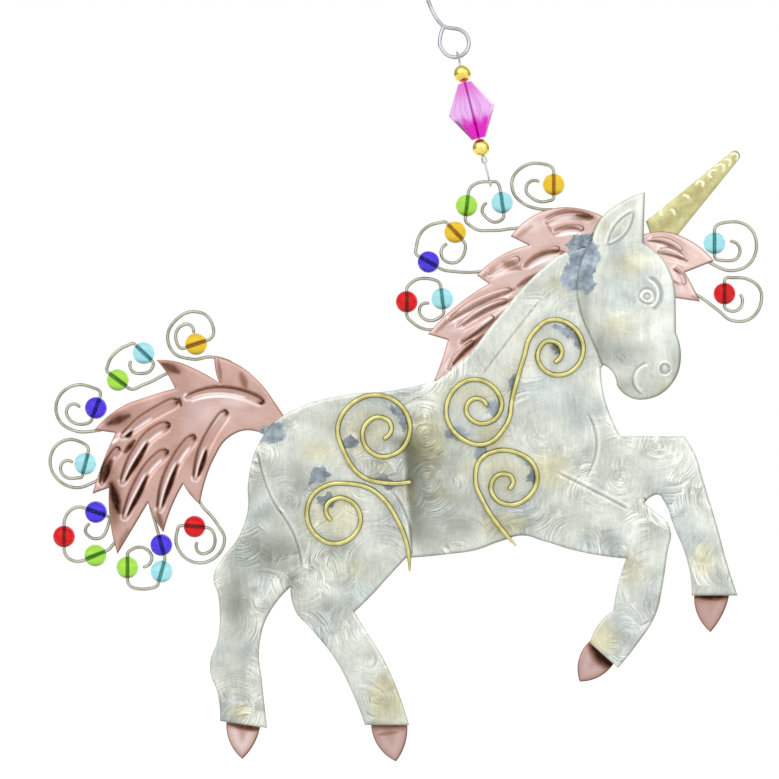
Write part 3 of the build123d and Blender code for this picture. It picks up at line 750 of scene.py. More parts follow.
def pressSheet(name, node, runs, grain, gauge, relief):
    ring = outlineOf(runs)
    rim = np.array(ring)
    us = np.arange(rim.real.min(), rim.real.max(), grain)
    vs = np.arange(rim.imag.min(), rim.imag.max(), grain * 0.866)
    net = (us[None, :] + np.where(np.arange(len(vs)) % 2, grain / 2, 0)[:, None] + 1j * vs[:, None]).ravel()
    net = net[inside(net, ring)]
    net = net[toRim(net, ring)[0] > grain * 0.55]
    spots = np.concatenate([rim, net])
    count = len(rim)
    border = [(k, (k + 1) % count) for k in range(count)]
    flatSpots = [Vector((s.real, s.imag)) for s in spots.tolist()]
    made = geometry.delaunay_2d_cdt(flatSpots, border, [], 0, 1e-5, False)
    spots = np.array([complex(v.x, v.y) for v in made[0]])
    tris = np.array(made[2])
    tris = tris[inside(spots[tris].mean(axis=1), ring)]
    edge, out = toRim(spots, ring)
    edge[:count] = 0
    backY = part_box(node)[1].y
    frontY = backY - gauge
    rise, dent, held, masks = relief(spots, edge, out)  # held: solder on the back
    x = (spots.real - sheet["u"]) * sheet["step"]
    z = (spots.imag + sheet["v"]) * sheet["step"]
    total = len(spots)
    front, back = np.stack([x, frontY - rise * mm, z], 1), np.stack([x, backY - dent * mm, z], 1)
    vertices = np.concatenate([front, back])
    faces = tris.tolist() + (tris[:, ::-1] + total).tolist()
    faces += [(b, a, a + total, b + total) for a, b in border]
    for mask, values in masks.items():
        masks[mask] = np.concatenate([values, held if mask == "solder" else 0 * values])
    setPiece(name, node, vertices.tolist(), faces, 42, masks)


def rimDrop(edge, roll, width, chamfer=0.06):  # the sheet's edge rolls back, with a filed corner
    return -roll * np.clip(1 - edge / width, 0, 1) ** 2 - chamfer * np.clip(1 - edge / 0.9, 0, 1)


def rimShade(edge, out, thin, thick):  # painted shade along the edge, heavier on the lower right
    heavy = np.clip((out * lowerRight.conjugate()).real, 0, 1)
    return (0.6 + 0.4 * heavy) * np.clip(1 - edge / (thin + (thick - thin) * heavy), 0, 1) ** 1.5


def chased(spots, line, width, depth, lip=0.0):  # a struck line with a raised lip on one side
    away, share, side = toLine(spots, lineOf(line))
    fade = ease(share / 0.08 + 0.25) * ease((1 - share) / 0.08 + 0.25)
    groove = bell(away / width) * fade
    ridge = bell((away * side - 1.7 * width) / width) * fade
    return lip * ridge - depth * groove, groove, ridge


def strike(spots, rise, lines, gleam=0.0):  # chased lines: the new relief, the grooves for painted shade and the lips for painted highlights
    recess, lit = np.zeros(len(spots)), np.zeros(len(spots))
    for line, width, depth, lip in lines:
        change, groove, ridge = chased(spots, line, width, depth, lip)
        rise = rise + change
        recess, lit = np.maximum(recess, groove), np.maximum(lit, gleam * lip * ridge)
    return rise, recess, lit


def blobs(spots, patches):  # soft round patches: a place, two radii and a strength
    mask = np.zeros(len(spots))
    for u, v, wide, tall, strength in patches:
        mask = np.maximum(mask, strength * bell(np.hypot((spots.real - u) / wide, (-spots.imag - v) / tall)))
    return mask


def patchMask(spots, patches, soft=8.0):  # many-cornered patches, half strength at their edges
    mask = np.zeros(len(spots))
    for corners in patches:
        ring = [complex(u, -v) for u, v in corners]
        away, _, _ = toLine(spots, ring + ring[:1])
        mask = np.maximum(mask, np.clip(0.5 + np.where(inside(spots, ring), away, -away) / soft, 0, 1))
    return mask


neckSolder = [(566, 243), (578, 235), (592, 233), (597, 247), (601, 257), (596, 266), (592, 276),
              (595, 284), (586, 296),
              (578, 290), (566, 290), (559, 280), (562, 269), (570, 261)]

body = {
    "runs": [
        [(435, 381), (393, 390.5), (345, 395), (305, 405), (276, 421), (257, 447), (248.5, 479), (247, 514),
         (238, 538),
         (222, 559), (214, 574), (219, 600), (219, 632), (210, 670), (218, 695), (220, 721)],
        [(220, 721), (267, 728)],
        [(267, 728), (262, 682), (259, 652), (265, 622), (279, 599), (290.5, 587)],
        [(290.5, 587), (295, 610), (313, 631), (335, 659), (353, 694), (365, 725)],
        [(365, 725), (409, 725)],
        [(409, 725), (399, 694), (383, 658), (366, 631), (354.5, 612)],
        [(354.5, 612), (370, 597), (391, 574), (406, 558)],
        [(406, 558), (445, 554.5), (476, 550), (500, 541.5), (522, 535.5), (545, 541.5), (573, 550),
         (626.5, 558.5)],
        [(626.5, 558.5), (618, 586), (613.5, 611)],
        [(613.5, 611), (600, 623), (590, 643)],
        [(590, 643), (618, 668)],
        [(618, 668), (632, 651), (657, 611), (663, 583), (668, 550), (671, 534), (667, 521.5)],
        [(667, 521.5), (644.5, 503.5)],
        [(644.5, 503.5), (650, 497.5), (659, 495), (664.5, 502), (674, 526), (686, 556), (691, 578),
         (692, 595.5)],
        [(692, 595.5), (737.5, 595.5)],
        [(737.5, 595.5), (727, 563), (717, 526), (703, 480), (694.5, 453), (684, 436.5)],
        [(684, 436.5), (620, 436)],
        [(620, 436), (611, 417), (603.5, 393), (601, 368)],
        [(601, 368), (628, 320), (630, 270), (596, 243)],
        [(596, 243), (559, 254.5)],
        [(559, 254.5), (527, 283), (496, 320), (462, 361), (435, 381)],
    ],
    "lines": [  # places, width, depth, lip
        ([(258, 452), (262, 472), (270, 495), (283, 516)], 1.2, 0.13, 0.07),
        ([(276, 508), (290, 527), (298, 547), (302, 568)], 1.2, 0.13, 0.07),
        ([(392, 491), (403, 508), (410, 530), (411, 556)], 1.2, 0.10, 0.06),
        ([(558, 473), (594, 491), (628, 509)], 1.3, 0.16, 0.07),
        ([(588, 414), (595, 432), (596, 450), (586, 477)], 1.2, 0.12, 0.07),
        ([(540, 300), (510, 338), (482, 375)], 1.0, 0.05, 0.02),
        ([(642, 497), (655, 507), (668, 519)], 1.2, 0.08, 0.05),
    ],
    "thigh": [(404, 424), (408, 455), (408, 484), (411, 515), (411, 556)],
    "solder": [
        [(255, 431), (270, 424), (284, 423), (285, 436), (274, 444), (261, 444)],
        [(341, 439), (350, 435), (359, 438), (355, 446), (349, 449), (342, 446)],
        [(385, 404), (394, 406), (404, 413), (408, 422), (404, 432), (398, 426), (397, 417), (390, 412)],
        [(313, 468), (326, 466), (331, 475), (324, 481), (308, 485), (311, 476)],
        [(317, 498), (329, 493), (338, 497), (333, 506), (324, 507), (318, 505)],
        [(376, 476), (384, 472), (389, 477), (397, 489), (386, 490), (379, 482)],
        [(447, 431), (454, 425), (462, 429), (470, 435), (457, 441), (448, 438)],
        [(474, 454), (479, 447), (486, 448), (485, 456), (477, 460)],
        [(485, 404), (497, 398), (503, 408), (495, 416), (487, 412)],
        [(550, 325), (562, 326), (570, 324), (578, 334), (581, 348), (577, 352), (574, 340), (566, 339),
         (563, 334)],
        [(550, 344), (557, 343), (560, 350), (556, 354)],
        [(507, 382), (514, 372), (518, 374), (513, 388), (508, 394)],
        [(519, 456), (530, 459), (536, 470), (534, 486), (527, 481), (528, 468)],
        neckSolder,
    ],
    # painted highlights: soft pale patches, each a place, two radii and a strength
    "bright": [(524, 352, 20, 22, 0.42), (496, 380, 20, 18, 0.32), (326, 522, 16, 14, 0.16),
               (634, 600, 16, 40, 0.26),
               (578, 354, 16, 16, 0.30), (438, 522, 14, 12, 0.22), (326, 438, 16, 14, 0.20),
               (466, 410, 16, 14, 0.20)],
    # painted shade: soft dark patches, each a place, two radii and a strength
    "dark": [
        (425, 455, 24, 34, 0.30), (292, 582, 9, 13, 0.55), (252, 505, 8, 42, 0.22), (238, 600, 16, 30, 0.60),
        (516, 524, 26, 15, 0.46), (266, 548, 36, 24, 0.56), (382, 468, 18, 16, 0.34),
        (494, 438, 16, 14, 0.24),
        (466, 496, 22, 20, 0.34), (298, 476, 16, 26, 0.30), (466, 524, 20, 16, 0.36),
        (434, 490, 16, 16, 0.30),
        (264, 516, 20, 12, 0.34), (552, 524, 18, 12, 0.28), (718, 578, 14, 16, 0.26),
        (326, 606, 16, 14, 0.22),
        (395, 441, 9, 6, 0.45), (555, 348, 5, 5, 0.6), (470, 525, 30, 14, 0.14), (440, 520, 22, 28, 0.16),
        (240, 640, 16, 50, 0.20), (330, 590, 20, 16, 0.08), (588, 330, 8, 40, 0.20), (484, 515, 8, 24, 0.2),
        (455, 522, 28, 24, 0.20), (270, 535, 22, 18, 0.16), (258, 470, 8, 20, 0.16), (625, 600, 16, 40, 0.06),
    ],
    "warm": [
        (600, 640, 20, 16, 0.8), (703, 555, 14, 22, 0.7), (385, 700, 16, 20, 0.8), (548, 470, 18, 13, 0.8),
        (360, 435, 34, 30, 0.5), (335, 512, 28, 24, 0.45), (470, 392, 40, 24, 0.5), (545, 350, 30, 34, 0.3),
        (505, 480, 34, 34, 0.5), (630, 570, 16, 26, 0.5), (360, 570, 26, 20, 0.4), (242, 712, 18, 10, 0.6),
        (690, 470, 14, 18, 0.4), (560, 285, 22, 14, 0.4), (320, 452, 22, 12, 0.5), (428, 470, 10, 26, 0.5),
        (424, 440, 20, 26, 0.8), (545, 470, 30, 24, 0.6), (410, 496, 12, 18, 0.6), (438, 494, 18, 16, 0.5),
        (506, 522, 30, 14, 0.6), (494, 438, 16, 14, 0.6), (466, 470, 18, 18, 0.4), (382, 466, 16, 14, 0.5),
    ],
    "held": [
        (268, 434, 9, 7, 0.9), (243, 706, 15, 5, 0.8), (383, 702, 15, 5, 0.8), (602, 632, 9, 8, 0.8),
        (711, 576, 13, 5, 0.8),
        (466, 364, 8, 6, 0.8), (516, 314, 7, 8, 0.8), (560, 272, 8, 8, 0.8),
    ],
    "calm": [  # places that the swirls leave quiet
        (545, 330, 60, 55, 0.85), (560, 410, 50, 55, 0.8), (470, 400, 40, 34, 0.6), (310, 440, 44, 34, 0.4),
        (500, 480, 40, 40, 0.6), (375, 430, 34, 34, 0.5), (242, 660, 20, 34, 0.2), (340, 520, 34, 26, 0.5),
        (610, 600, 24, 44, 0.45), (715, 540, 22, 44, 0.4), (375, 690, 26, 34, 0.4), (345, 585, 34, 26, 0.5),
    ],
}


def bodyRelief(spots, edge, out):
    rise, recess, lit = strike(spots, rimDrop(edge, 0.10, 5), body["lines"], 7)
    away, share, side = toLine(spots, lineOf(body["thigh"]))
    ends = ease(share * 5) * ease((1 - share) * 5)
    broad = 0.6 * bell(away / 15) + 0.4 * bell(away / 45)
    hollow = np.where(side > 0, broad, bell(away / (2.5 + 9 * ease(1 - 2.2 * share))))
    hollow *= ends
    rise -= 0.22 * hollow
    # painted shade along both sides of each scroll wire
    for route in scrollRoutes.values():
        away, _, _ = toLine(spots, lineOf(route))
        recess = np.maximum(recess, 0.42 * bell(away / 5))
    solder = patchMask(spots, body["solder"])
    rise += 0.08 * ease(solder * 2 - 0.6)
    # painted shade: grooves, beside the wires, the hollow by the thigh, the rims and the dark patches; the small
    # solder patches darker, with a soft painted shade round their edges
    tone = 0.55 * recess + 0.68 * hollow + 0.75 * rimShade(edge, out, 2.0, 3.6) + blobs(spots, body["dark"])
    tone += 0.28 * patchMask(spots, body["solder"][:-1])
    masks = {"solder": solder, "tone": np.clip(tone, 0, 0.9), "warm": blobs(spots, body["warm"]),
             "calm": blobs(spots, body["calm"]), "lit": np.clip(lit + blobs(spots, body["bright"]), 0, 1)}
    return rise, 0 * edge, blobs(spots, body["held"]), masks


pressSheet("bodySheet", "body_plate", body["runs"], 1.6, gauges["nickel"], bodyRelief)
print("body pressed")

head = {
    "runs": [
        [(644.5, 192.5), (643, 243.5)],
        [(643, 243.5), (658, 254.5), (670, 273), (675, 293)],
        [(675, 293), (675.5, 333)],
        [(675.5, 333), (680.3, 352), (675, 378.5), (653, 397.5), (631, 398), (616.5, 385)],
        [(616.5, 385), (613.5, 374), (601.5, 364.5)],
        [(601.5, 364.5), (592, 341), (581.5, 317), (577, 297)],
        [(577, 297), (580, 265), (592, 240)],
        [(592, 240), (602, 217), (619, 203.5), (644.5, 192.5)],
    ],
    "earFront": [(607, 246), (619, 240), (629, 228), (633, 212)],
    "earBack": [(607, 246), (611, 232), (619, 221), (633, 212)],
    "lid": [(651, 310), (657, 305), (660.5, 294), (657, 284), (648, 278)],
    "smile": [(646, 363), (637, 368), (632, 378), (635, 389), (641, 394)],
    "eyeTop": [(653, 303), (654, 295), (648, 289), (640, 292), (638, 299)],
    "eyeLow": [(638, 299), (643, 303), (653, 303)],
    "eye": (646, 297, 6.4), "pupil": (646, 297, 3.0), "nostril": (664, 369, 4.6),
    "muzzle": (651, 372, 22, 24, 0.22), "cheek": (606, 318, 26, 34, 0.20),
    # painted shade: soft dark patches, each a place, two radii and a strength
    "dark": [(583, 318, 10, 36, 0.45), (598, 350, 11, 22, 0.48), (640, 330, 22, 8, 0.08),
             (675, 362, 8, 20, 0.34),
             (630, 352, 28, 11, 0.22), (622, 388, 14, 12, 0.36), (612, 265, 10, 20, 0.06),
             (625, 222, 26, 22, 0.16),
             (650, 378, 22, 20, 0.16), (655, 342, 14, 8, 0.10)],
    "warm": [(632, 262, 24, 22, 0.45), (618, 330, 26, 24, 0.4), (664, 388, 16, 10, 0.5),
             (604, 232, 10, 14, 0.4)],
    "held": [(640, 262, 6, 12, 0.8), (652, 296, 8, 7, 0.8), (602, 360, 8, 8, 0.8)],
}


def ringLine(u, v, radius):
    return [(u + radius * math.cos(a), v + radius * math.sin(a)) for a in np.linspace(0, 2 * math.pi, 13)]


def headRelief(spots, edge, out):
    u, v = spots.real, -spots.imag
    rise = 0.45 * ease(edge / 26) + rimDrop(edge, 0.12, 5)
    rise += blobs(spots, [head["muzzle"]]) + blobs(spots, [head["cheek"]])
    lines = [
        (head["earFront"], 1.1, 0.07, 0.07), (head["earBack"], 1.1, 0.07, 0.07),
        (head["lid"], 1.7, 0.12, 0.09), (head["smile"], 1.3, 0.09, 0.10),
        (head["eyeTop"], 1.3, 0.11, 0.10), (head["eyeLow"], 1.2, 0.09, 0.08),
        (ringLine(*head["pupil"]), 1.0, 0.08, 0.06), (ringLine(*head["nostril"]), 1.2, 0.10, 0.08),
    ]
    rise, recess, lit = strike(spots, rise, lines, 8)
    for (eu, ev, er), high in ((head["eye"], 0.10), (head["nostril"], 0.06)):
        rise += high * bell(np.hypot(u - eu, v - ev) / (er * 0.6))
    solder = patchMask(spots, [neckSolder])
    rise += 0.08 * ease(solder * 2 - 0.6)
    # painted shade in the grooves, along the rim and in the dark patches
    tone = 0.5 * recess + 0.85 * rimShade(edge, out, 2.0, 3.8) + blobs(spots, head["dark"])
    masks = {"solder": solder, "tone": np.clip(tone, 0, 0.9), "warm": blobs(spots, head["warm"]),
             "calm": 0.75 + 0 * edge, "lit": lit}
    return rise, 0.35 * ease(edge / 26), blobs(spots, head["held"]), masks


pressSheet("headSheet", "head_plate", head["runs"], 1.2, gauges["nickel"], headRelief)
print("head pressed")


# copper locks: pressed flutes, each a line from its tip, its half width, and the shares up to which
# its lower edge carries painted shade and then a painted highlight
def fluted(spots, flutes, height, firm):
    rise, recess, glow, blush = (np.zeros(len(spots)) for _ in range(4))
    for line, wide, darkTo, paleTo in flutes:
        away, share, side = toLine(spots, lineOf(line))
        rounded = np.sqrt(np.clip(1 - (np.clip(share - 0.86, 0, 1) / 0.14) ** 2, 0.03, 1))
        slim = wide * (0.6 + 0.4 * ease(share / 0.4)) * rounded
        off = -away * side  # below the line, on the grid
        part = off / slim
        ends = ease(share / 0.06 + 0.2) * ease((1 - share) / 0.06 + 0.2)
        rise += height * np.clip(1 - part ** 2, 0, 1) ** 1.2
        rise -= 0.14 * bell((away - slim - 1.4) / 1.3) * np.where(part > 0, 1.0, 0.4) * ends
        # painted shade and highlights along each flute: a dark band by the lower edge, then a bright one, a dark
        # spot at the root, a pale ring round the tip, a dark line along the upper edge, a highlight on the crest
        inner = ease((off - 0.5 * slim) / 1.2) * ends
        reach = 1.2 + 3.8 * np.sin(math.pi * np.clip(share / max(darkTo, 0.1), 0.05, 0.95)) ** 0.7
        dark = inner * ease((slim + reach - off) / 3.2) * ease((darkTo - share) / 0.06 + 0.5) * (darkTo > 0)
        bright = inner * ease((slim + 1.6 - off) / 1.4) * ease((share - darkTo) / 0.06)
        bright *= ease((paleTo - share) / 0.08)
        root = bell((share - 0.975) / 0.04) * bell((away - 0.6 * slim) / 2.0) * (share < 1)
        tip = bell((away - slim - 1.0) / 1.1) * (share < 0.01)
        recess = np.maximum(recess, firm * 0.7 * bell((off + slim) / 1.2) * ends)
        recess = np.maximum(recess, np.maximum(dark, firm * 0.95 * root))
        crest = 0.85 * bell((part - 0.28) / 0.26) * ease((darkTo - share) / 0.1 + 0.6) * ends
        glow = np.maximum(glow, np.maximum(np.maximum(bright, 0.7 * tip), crest) * (1 - dark))
        blush = np.maximum(blush, firm * 0.95 * ease((0.4 - part) / 0.7) * (part > -1.05) * ends)
    return rise, recess, glow, blush


def streaks(spots, marks):  # soft dark strokes: a line, its half width and a strength
    mask = np.zeros(len(spots))
    for line, wide, strength in marks:
        away, share, _ = toLine(spots, lineOf(line))
        swell = wide * (0.45 + 0.55 * np.sin(math.pi * np.clip(share, 0.02, 0.98)))
        mask = np.maximum(mask, strength * ease((swell - away) / (1.3 * wide + 0.6) + 0.5))
    return mask


tail = {
    "runs": [
        [(292, 430), (277, 406), (259, 382), (240, 366), (214, 356)],
        [(214, 356), (215, 369), (219, 383)],
        [(219, 383), (195, 369), (173.5, 361), (156, 360)],
        [(156, 360), (167, 374), (174.5, 388.5)],
        [(174.5, 388.5), (152, 395), (119, 408), (94, 430)],
        [(94, 430), (115, 433)],
        [(115, 433), (104, 458), (92, 494)],
        [(92, 494), (108.5, 488)],
        [(108.5, 488), (109, 515), (117, 554)],
        [(117, 554), (134.5, 525), (147.5, 503)],
        [(147.5, 503), (154, 518), (163, 532.5)],
        [(163, 532.5), (171, 508), (183, 484)],
        [(183, 484), (190, 495), (199.5, 504.5)],
        [(199.5, 504.5), (204, 484), (213, 460), (228, 438), (245, 430.5), (262, 434)],
        [(262, 434), (280, 448)],
        [(280, 448), (292, 430)],
    ],
    "flutes": [
        ([(187, 397), (206, 391), (232, 391), (264, 403)], 4.0, 0.0, 0.8),
        ([(122, 436), (136, 424), (156, 411), (178, 400)], 4.6, 0.16, 0.55),
        ([(122, 482), (134, 456), (152, 433), (170, 424)], 5.0, 0.60, 0.9),
        ([(124, 517), (135, 490), (151, 464), (168, 450)], 4.8, 0.58, 0.9),
        ([(159, 509), (166, 480), (180, 453), (195, 435)], 4.8, 0.58, 0.88),
        ([(195, 478), (203, 448), (213, 429), (227, 410)], 4.4, 0.40, 0.0),
        ([(101, 484), (107, 464), (119, 447)], 3.4, 0.5, 0.8),
    ],
    "strokes": [  # painted shade in folds: places, half width, strength
        ([(134, 441), (125, 452)], 2.6, 0.9), ([(111, 484), (115, 499), (118, 512)], 5.0, 1.0),
        ([(110, 462), (102, 479)], 5.0, 0.9), ([(128, 416), (108, 424)], 4.6, 0.8),
        ([(163, 364), (178, 372)], 4.4, 0.7),
        ([(187, 396), (226, 387.5), (265, 402)], 1.1, 0.75), ([(179, 398), (181, 406)], 1.4, 0.9),
        ([(241, 374), (246, 388)], 3.6, 0.42), ([(264, 384), (290, 426)], 2.6, 0.4),
        ([(218, 360), (221, 382)], 2.0, 0.35),
        ([(188, 492), (193, 503)], 2.4, 0.4), ([(157, 512), (162, 528)], 2.6, 0.5),
        ([(128, 530), (119, 548)], 3.0, 0.3),
    ],
    # painted highlights along the ridges
    "shine": [([(192, 402), (215, 396), (240, 398), (258, 405)], 1.5, 0.7),
              ([(112, 443), (119, 438)], 1.6, 0.9)],
    # painted highlights: soft pale patches
    "pale": [(212, 412, 26, 16, 0.3), (232, 402, 20, 6, 0.4), (250, 418, 12, 8, 0.2),
             (190, 424, 12, 10, 0.2)],
    "fair": 0.0, "ink": 1.0,
    "flame": [(116, 419, 16, 9, 0.5), (106, 469, 8, 13, 0.6), (168, 367, 11, 8, 0.5), (114, 503, 7, 22, 0.6)],
    "solder": [[(255, 431), (270, 424), (284, 423), (285, 436), (274, 444), (261, 444)]],
}
mane = {
    "runs": [
        [(603, 216), (579, 208), (554, 208), (530, 217.5), (511, 236)],
        [(511, 236), (529, 245)],
        [(529, 245), (500, 256), (477, 275)],
        [(477, 275), (489, 283.5)],
        [(489, 283.5), (458, 304.5), (428, 334)],
        [(428, 334), (448, 340)],
        [(448, 340), (443, 357), (434, 381)],
        [(434, 381), (480, 372), (545, 318), (596, 262), (603, 216)],
    ],
    "flutes": [
        ([(547, 222), (566, 215), (592, 218)], 3.4, 0.0, 0.6),
        ([(555, 233), (570, 227), (584, 229)], 3.2, 0.0, 0.9),
        ([(490, 273), (504, 264), (520, 258)], 3.6, 0.0, 0.5),
        ([(525, 266), (536, 257), (560, 248)], 3.4, 0.0, 0.9),
        ([(450, 319), (471, 304), (512, 289)], 3.6, 0.0, 0.9),
        ([(458, 326), (478, 312), (508, 300)], 3.2, 0.0, 0.9),
        ([(461, 343), (476, 330), (494, 316)], 3.0, 0.0, 0.9),
        ([(449, 369), (458, 355), (474, 341)], 3.0, 0.0, 0.9),
    ],
    "strokes": [
        ([(546, 218), (568, 211), (592, 215)], 2.4, 0.55), ([(577, 215), (593, 217)], 2.6, 0.95),
        ([(555, 230), (566, 227), (579, 229)], 2.4, 0.6), ([(545, 220), (554, 236)], 1.6, 0.3),
        ([(525, 265), (530, 260), (564, 252)], 2.6, 0.72), ([(504, 262), (519, 268)], 5.0, 0.45),
        ([(518, 286), (538, 274)], 2.8, 0.7), ([(450, 321), (484, 302), (514, 289)], 2.6, 0.5),
        ([(464, 325), (491, 308), (514, 299)], 2.6, 0.58), ([(462, 341), (491, 324), (504, 313)], 2.8, 0.72),
        ([(454, 363), (469, 348), (484, 335)], 3.0, 0.85), ([(436, 332), (458, 312)], 2.4, 0.35),
        ([(443, 352), (437, 374)], 2.4, 0.4), ([(484, 276), (499, 264)], 2.4, 0.35),
        ([(516, 238), (532, 226)], 2.2, 0.25),
    ],
    "shine": [
        ([(446, 326), (482, 307), (508, 296)], 1.6, 0.8), ([(464, 332), (494, 315), (508, 306)], 1.6, 0.8),
        ([(455, 352), (470, 339), (486, 328)], 1.6, 0.7), ([(530, 268), (545, 261), (566, 257)], 1.6, 0.85),
        ([(492, 280), (506, 273), (520, 271)], 1.8, 0.7), ([(552, 222), (568, 217), (586, 221)], 1.5, 0.8),
        ([(560, 235), (572, 233), (582, 234)], 1.6, 0.9), ([(442, 372), (450, 358)], 1.6, 0.6),
    ],
    "pale": [(532, 226, 14, 9, 0.5), (564, 233, 9, 4, 0.7), (545, 262, 16, 4, 0.5), (498, 268, 6, 4, 0.5),
             (470, 320, 16, 4, 0.4), (455, 330, 14, 5, 0.4), (450, 350, 6, 10, 0.4)],
    "flame": [(584, 217, 10, 4, 0.5), (512, 265, 12, 6, 0.2)], "fair": 0.22, "ink": 0.8,
    "solder": [neckSolder],
}
forelock = {
    "runs": [
        [(640, 236), (664, 231.5), (690, 240.5), (714, 261)],
        [(714, 261), (685, 272.5)],
        [(685, 272.5), (693, 287), (700, 301.5)],
        [(700, 301.5), (662, 296)],
        [(662, 296), (640, 236)],
    ],
    "flutes": [
        ([(651, 240), (665, 240), (682, 251)], 3.0, 0.0, 0.9),
        ([(659, 250), (668, 250), (684, 259)], 3.0, 0.0, 0.9),
        ([(674, 268), (681, 275), (684, 285)], 2.6, 0.0, 0.9),
    ],
    "strokes": [
        ([(648, 241), (660, 242), (682, 254)], 1.5, 0.72), ([(656, 253), (670, 255), (687, 261)], 1.5, 0.75),
        ([(674, 269), (681, 274)], 1.2, 0.7), ([(673, 281), (680, 285)], 1.2, 0.6),
        ([(692, 296), (699, 300)], 1.5, 0.4),
    ],
    "shine": [([(656, 246), (668, 248), (684, 257)], 1.6, 0.8),
              ([(664, 259), (680, 264), (692, 266)], 1.8, 0.6)],
    "pale": [(668, 248, 14, 3, 0.5), (696, 256, 10, 6, 0.4), (682, 290, 8, 7, 0.5), (660, 236, 10, 4, 0.4)],
    "flame": [], "fair": 0.3, "ink": 0.72,
    "solder": [],
}


def lockRelief(lock, height, firm, roots):
    def relief(spots, edge, out):
        rise, recess, glow, blush = fluted(spots, lock["flutes"], height, firm)
        dent = 0.75 * rise
        rise += rimDrop(edge, 0.12, 5)
        # painted shade: the dark strokes in the folds and along the rim; painted highlights: the pale patches and
        # shine lines, and fair lightens the whole lock
        strokes = lock["ink"] * streaks(spots, lock["strokes"])
        rise -= 0.05 * strokes
        recess = np.maximum(recess, np.maximum(strokes, 0.8 * rimShade(edge, out, 2.0, 2.8)))
        glow = np.maximum(np.maximum(glow, blobs(spots, lock["pale"])), lock["fair"]) * (1 - strokes)
        glow = np.maximum(glow, streaks(spots, lock["shine"]))
        masks = {"recess": np.clip(recess, 0, 1), "glow": glow, "blush": blush,
                 "tone": blobs(spots, lock["flame"]), "solder": patchMask(spots, lock["solder"])}
        return rise, dent, streaks(spots, [(root[:2], 4.2, 0.95) for root in roots]), masks
    return relief


for node, lock, height, firm in (("tail", tail, 0.36, 1.0), ("mane", mane, 0.30, 0.4),
                                 ("forelock", forelock, 0.24, 0.3)):
    relief = lockRelief(lock, height, firm, curls[node])
    pressSheet(node + "Sheet", node, lock["runs"], 1.0, gauges["copper"], relief)
print("locks pressed")

# hooves: left shoulder, flank, tip, flank, right shoulder and the tongue behind the cuff,
# then the cuff's edge, how flushed the copper is, and the cuff's shadows
hooves = {
    "hoof_far_hind": ([(226, 724), (230, 744), (242, 759.5), (253, 746), (260, 727), (258, 708), (229, 706)],
                      [(220, 721), (267, 728)], 0.1, [([(228, 724), (262, 730)], 3.4, 0.8)]),
    "hoof_near_hind": ([(371, 722), (377, 745), (396, 762), (404, 748), (407, 722), (400, 702), (366, 702)],
                       [(365, 725), (409, 725)], 0.4,
                       [([(370, 726), (408, 726)], 2.6, 0.7), ([(378, 735), (398, 732)], 2.0, 0.3)]),
    "hoof_near_fore": ([(592, 640), (580, 657), (580, 682), (596, 679), (614, 664), (622, 646), (606, 630)],
                       [(590, 643), (618, 668)], 0.4, [([(592, 645), (604, 658), (616, 668)], 7.5, 1.0)]),
    "hoof_far_fore": ([(695, 594), (697, 612), (711, 632.5), (723, 615), (730, 594), (724, 576), (698, 576)],
                      [(692, 595.5), (737.5, 595.5)], 0.5, [([(696, 597), (729, 597)], 3.6, 0.95)]),
}


def hoofRelief(cuff, flush, shadows):
    def relief(spots, edge, out):
        away, _, _ = toLine(spots, lineOf(cuff))
        rise = 0.14 * ease(edge / 10) + rimDrop(edge, 0.12, 4)
        shadow = np.maximum(0.6 * bell(away / 5), streaks(spots, shadows))
        recess = np.clip(np.maximum(shadow, 0.8 * rimShade(edge, out, 2.2, 3.0)), 0, 1)
        # painted highlight in the middle of the hoof, less on the darker hooves
        glow = (0.6 - flush) * bell((edge - 8) / 5) * (1 - shadow)
        masks = {"recess": recess, "blush": flush + 0 * edge, "glow": glow, "tone": 0 * edge,
                 "solder": 0 * edge}
        return rise, 0 * edge, 0 * edge, masks
    return relief


for node, (p, cuff, flush, shadows) in hooves.items():
    runs = [p[0:3], p[2:5], p[4:6], p[5:7], [p[6], p[0]]]
    pressSheet(nameOf(node), node, runs, 1.0, gauges["copper"], hoofRelief(cuff, flush, shadows))

horn = {
    "runs": [
        [(646.5, 221), (731, 152.5)],
        [(731, 152.5), (738.5, 151.5), (739, 159.5)],
        [(739, 159.5), (674, 240)],
        [(674, 240), (655, 246)],
        [(655, 246), (646.5, 221)],
    ],
    "twists": [
        [(663, 205), (661, 211), (662, 216)], [(671, 210), (673, 211), (674, 215)],
        [(684, 196), (687, 196), (688, 199)],
        [(697, 185), (700, 181), (702, 187)], [(712, 178), (712, 170), (716, 171)],
        [(717, 167), (720, 164), (722, 172)],
        [(725, 160), (727, 159), (728, 166)], [(732, 155), (735, 153), (736, 160)],
    ],
}


def hornRelief(spots, edge, out):
    rise = 0.14 * ease(edge / 8) + rimDrop(edge, 0.10, 4)
    rise, glow, _ = strike(spots, rise, [(line, 1.3, -0.08, -0.06) for line in horn["twists"]])
    return rise, 0 * edge, 0 * edge, {"recess": 0.8 * rimShade(edge, out, 2.2, 3.2), "glow": glow}


pressSheet("hornSheet", "horn", horn["runs"], 1.1, gauges["horn"], hornRelief)
print("hooves and horn pressed")

# stage: a pale floor below the hanging piece, soft lamps and a bright even surround
stage = {"floorZ": -0.19, "floorSize": 1.5, "white": (1.0, 1.0, 1.0, 1), "paper": (0.92, 0.92, 0.92, 1),
         "glow": 1.1, "floorShare": 0.6, "fade": (140.0, 420.0)}


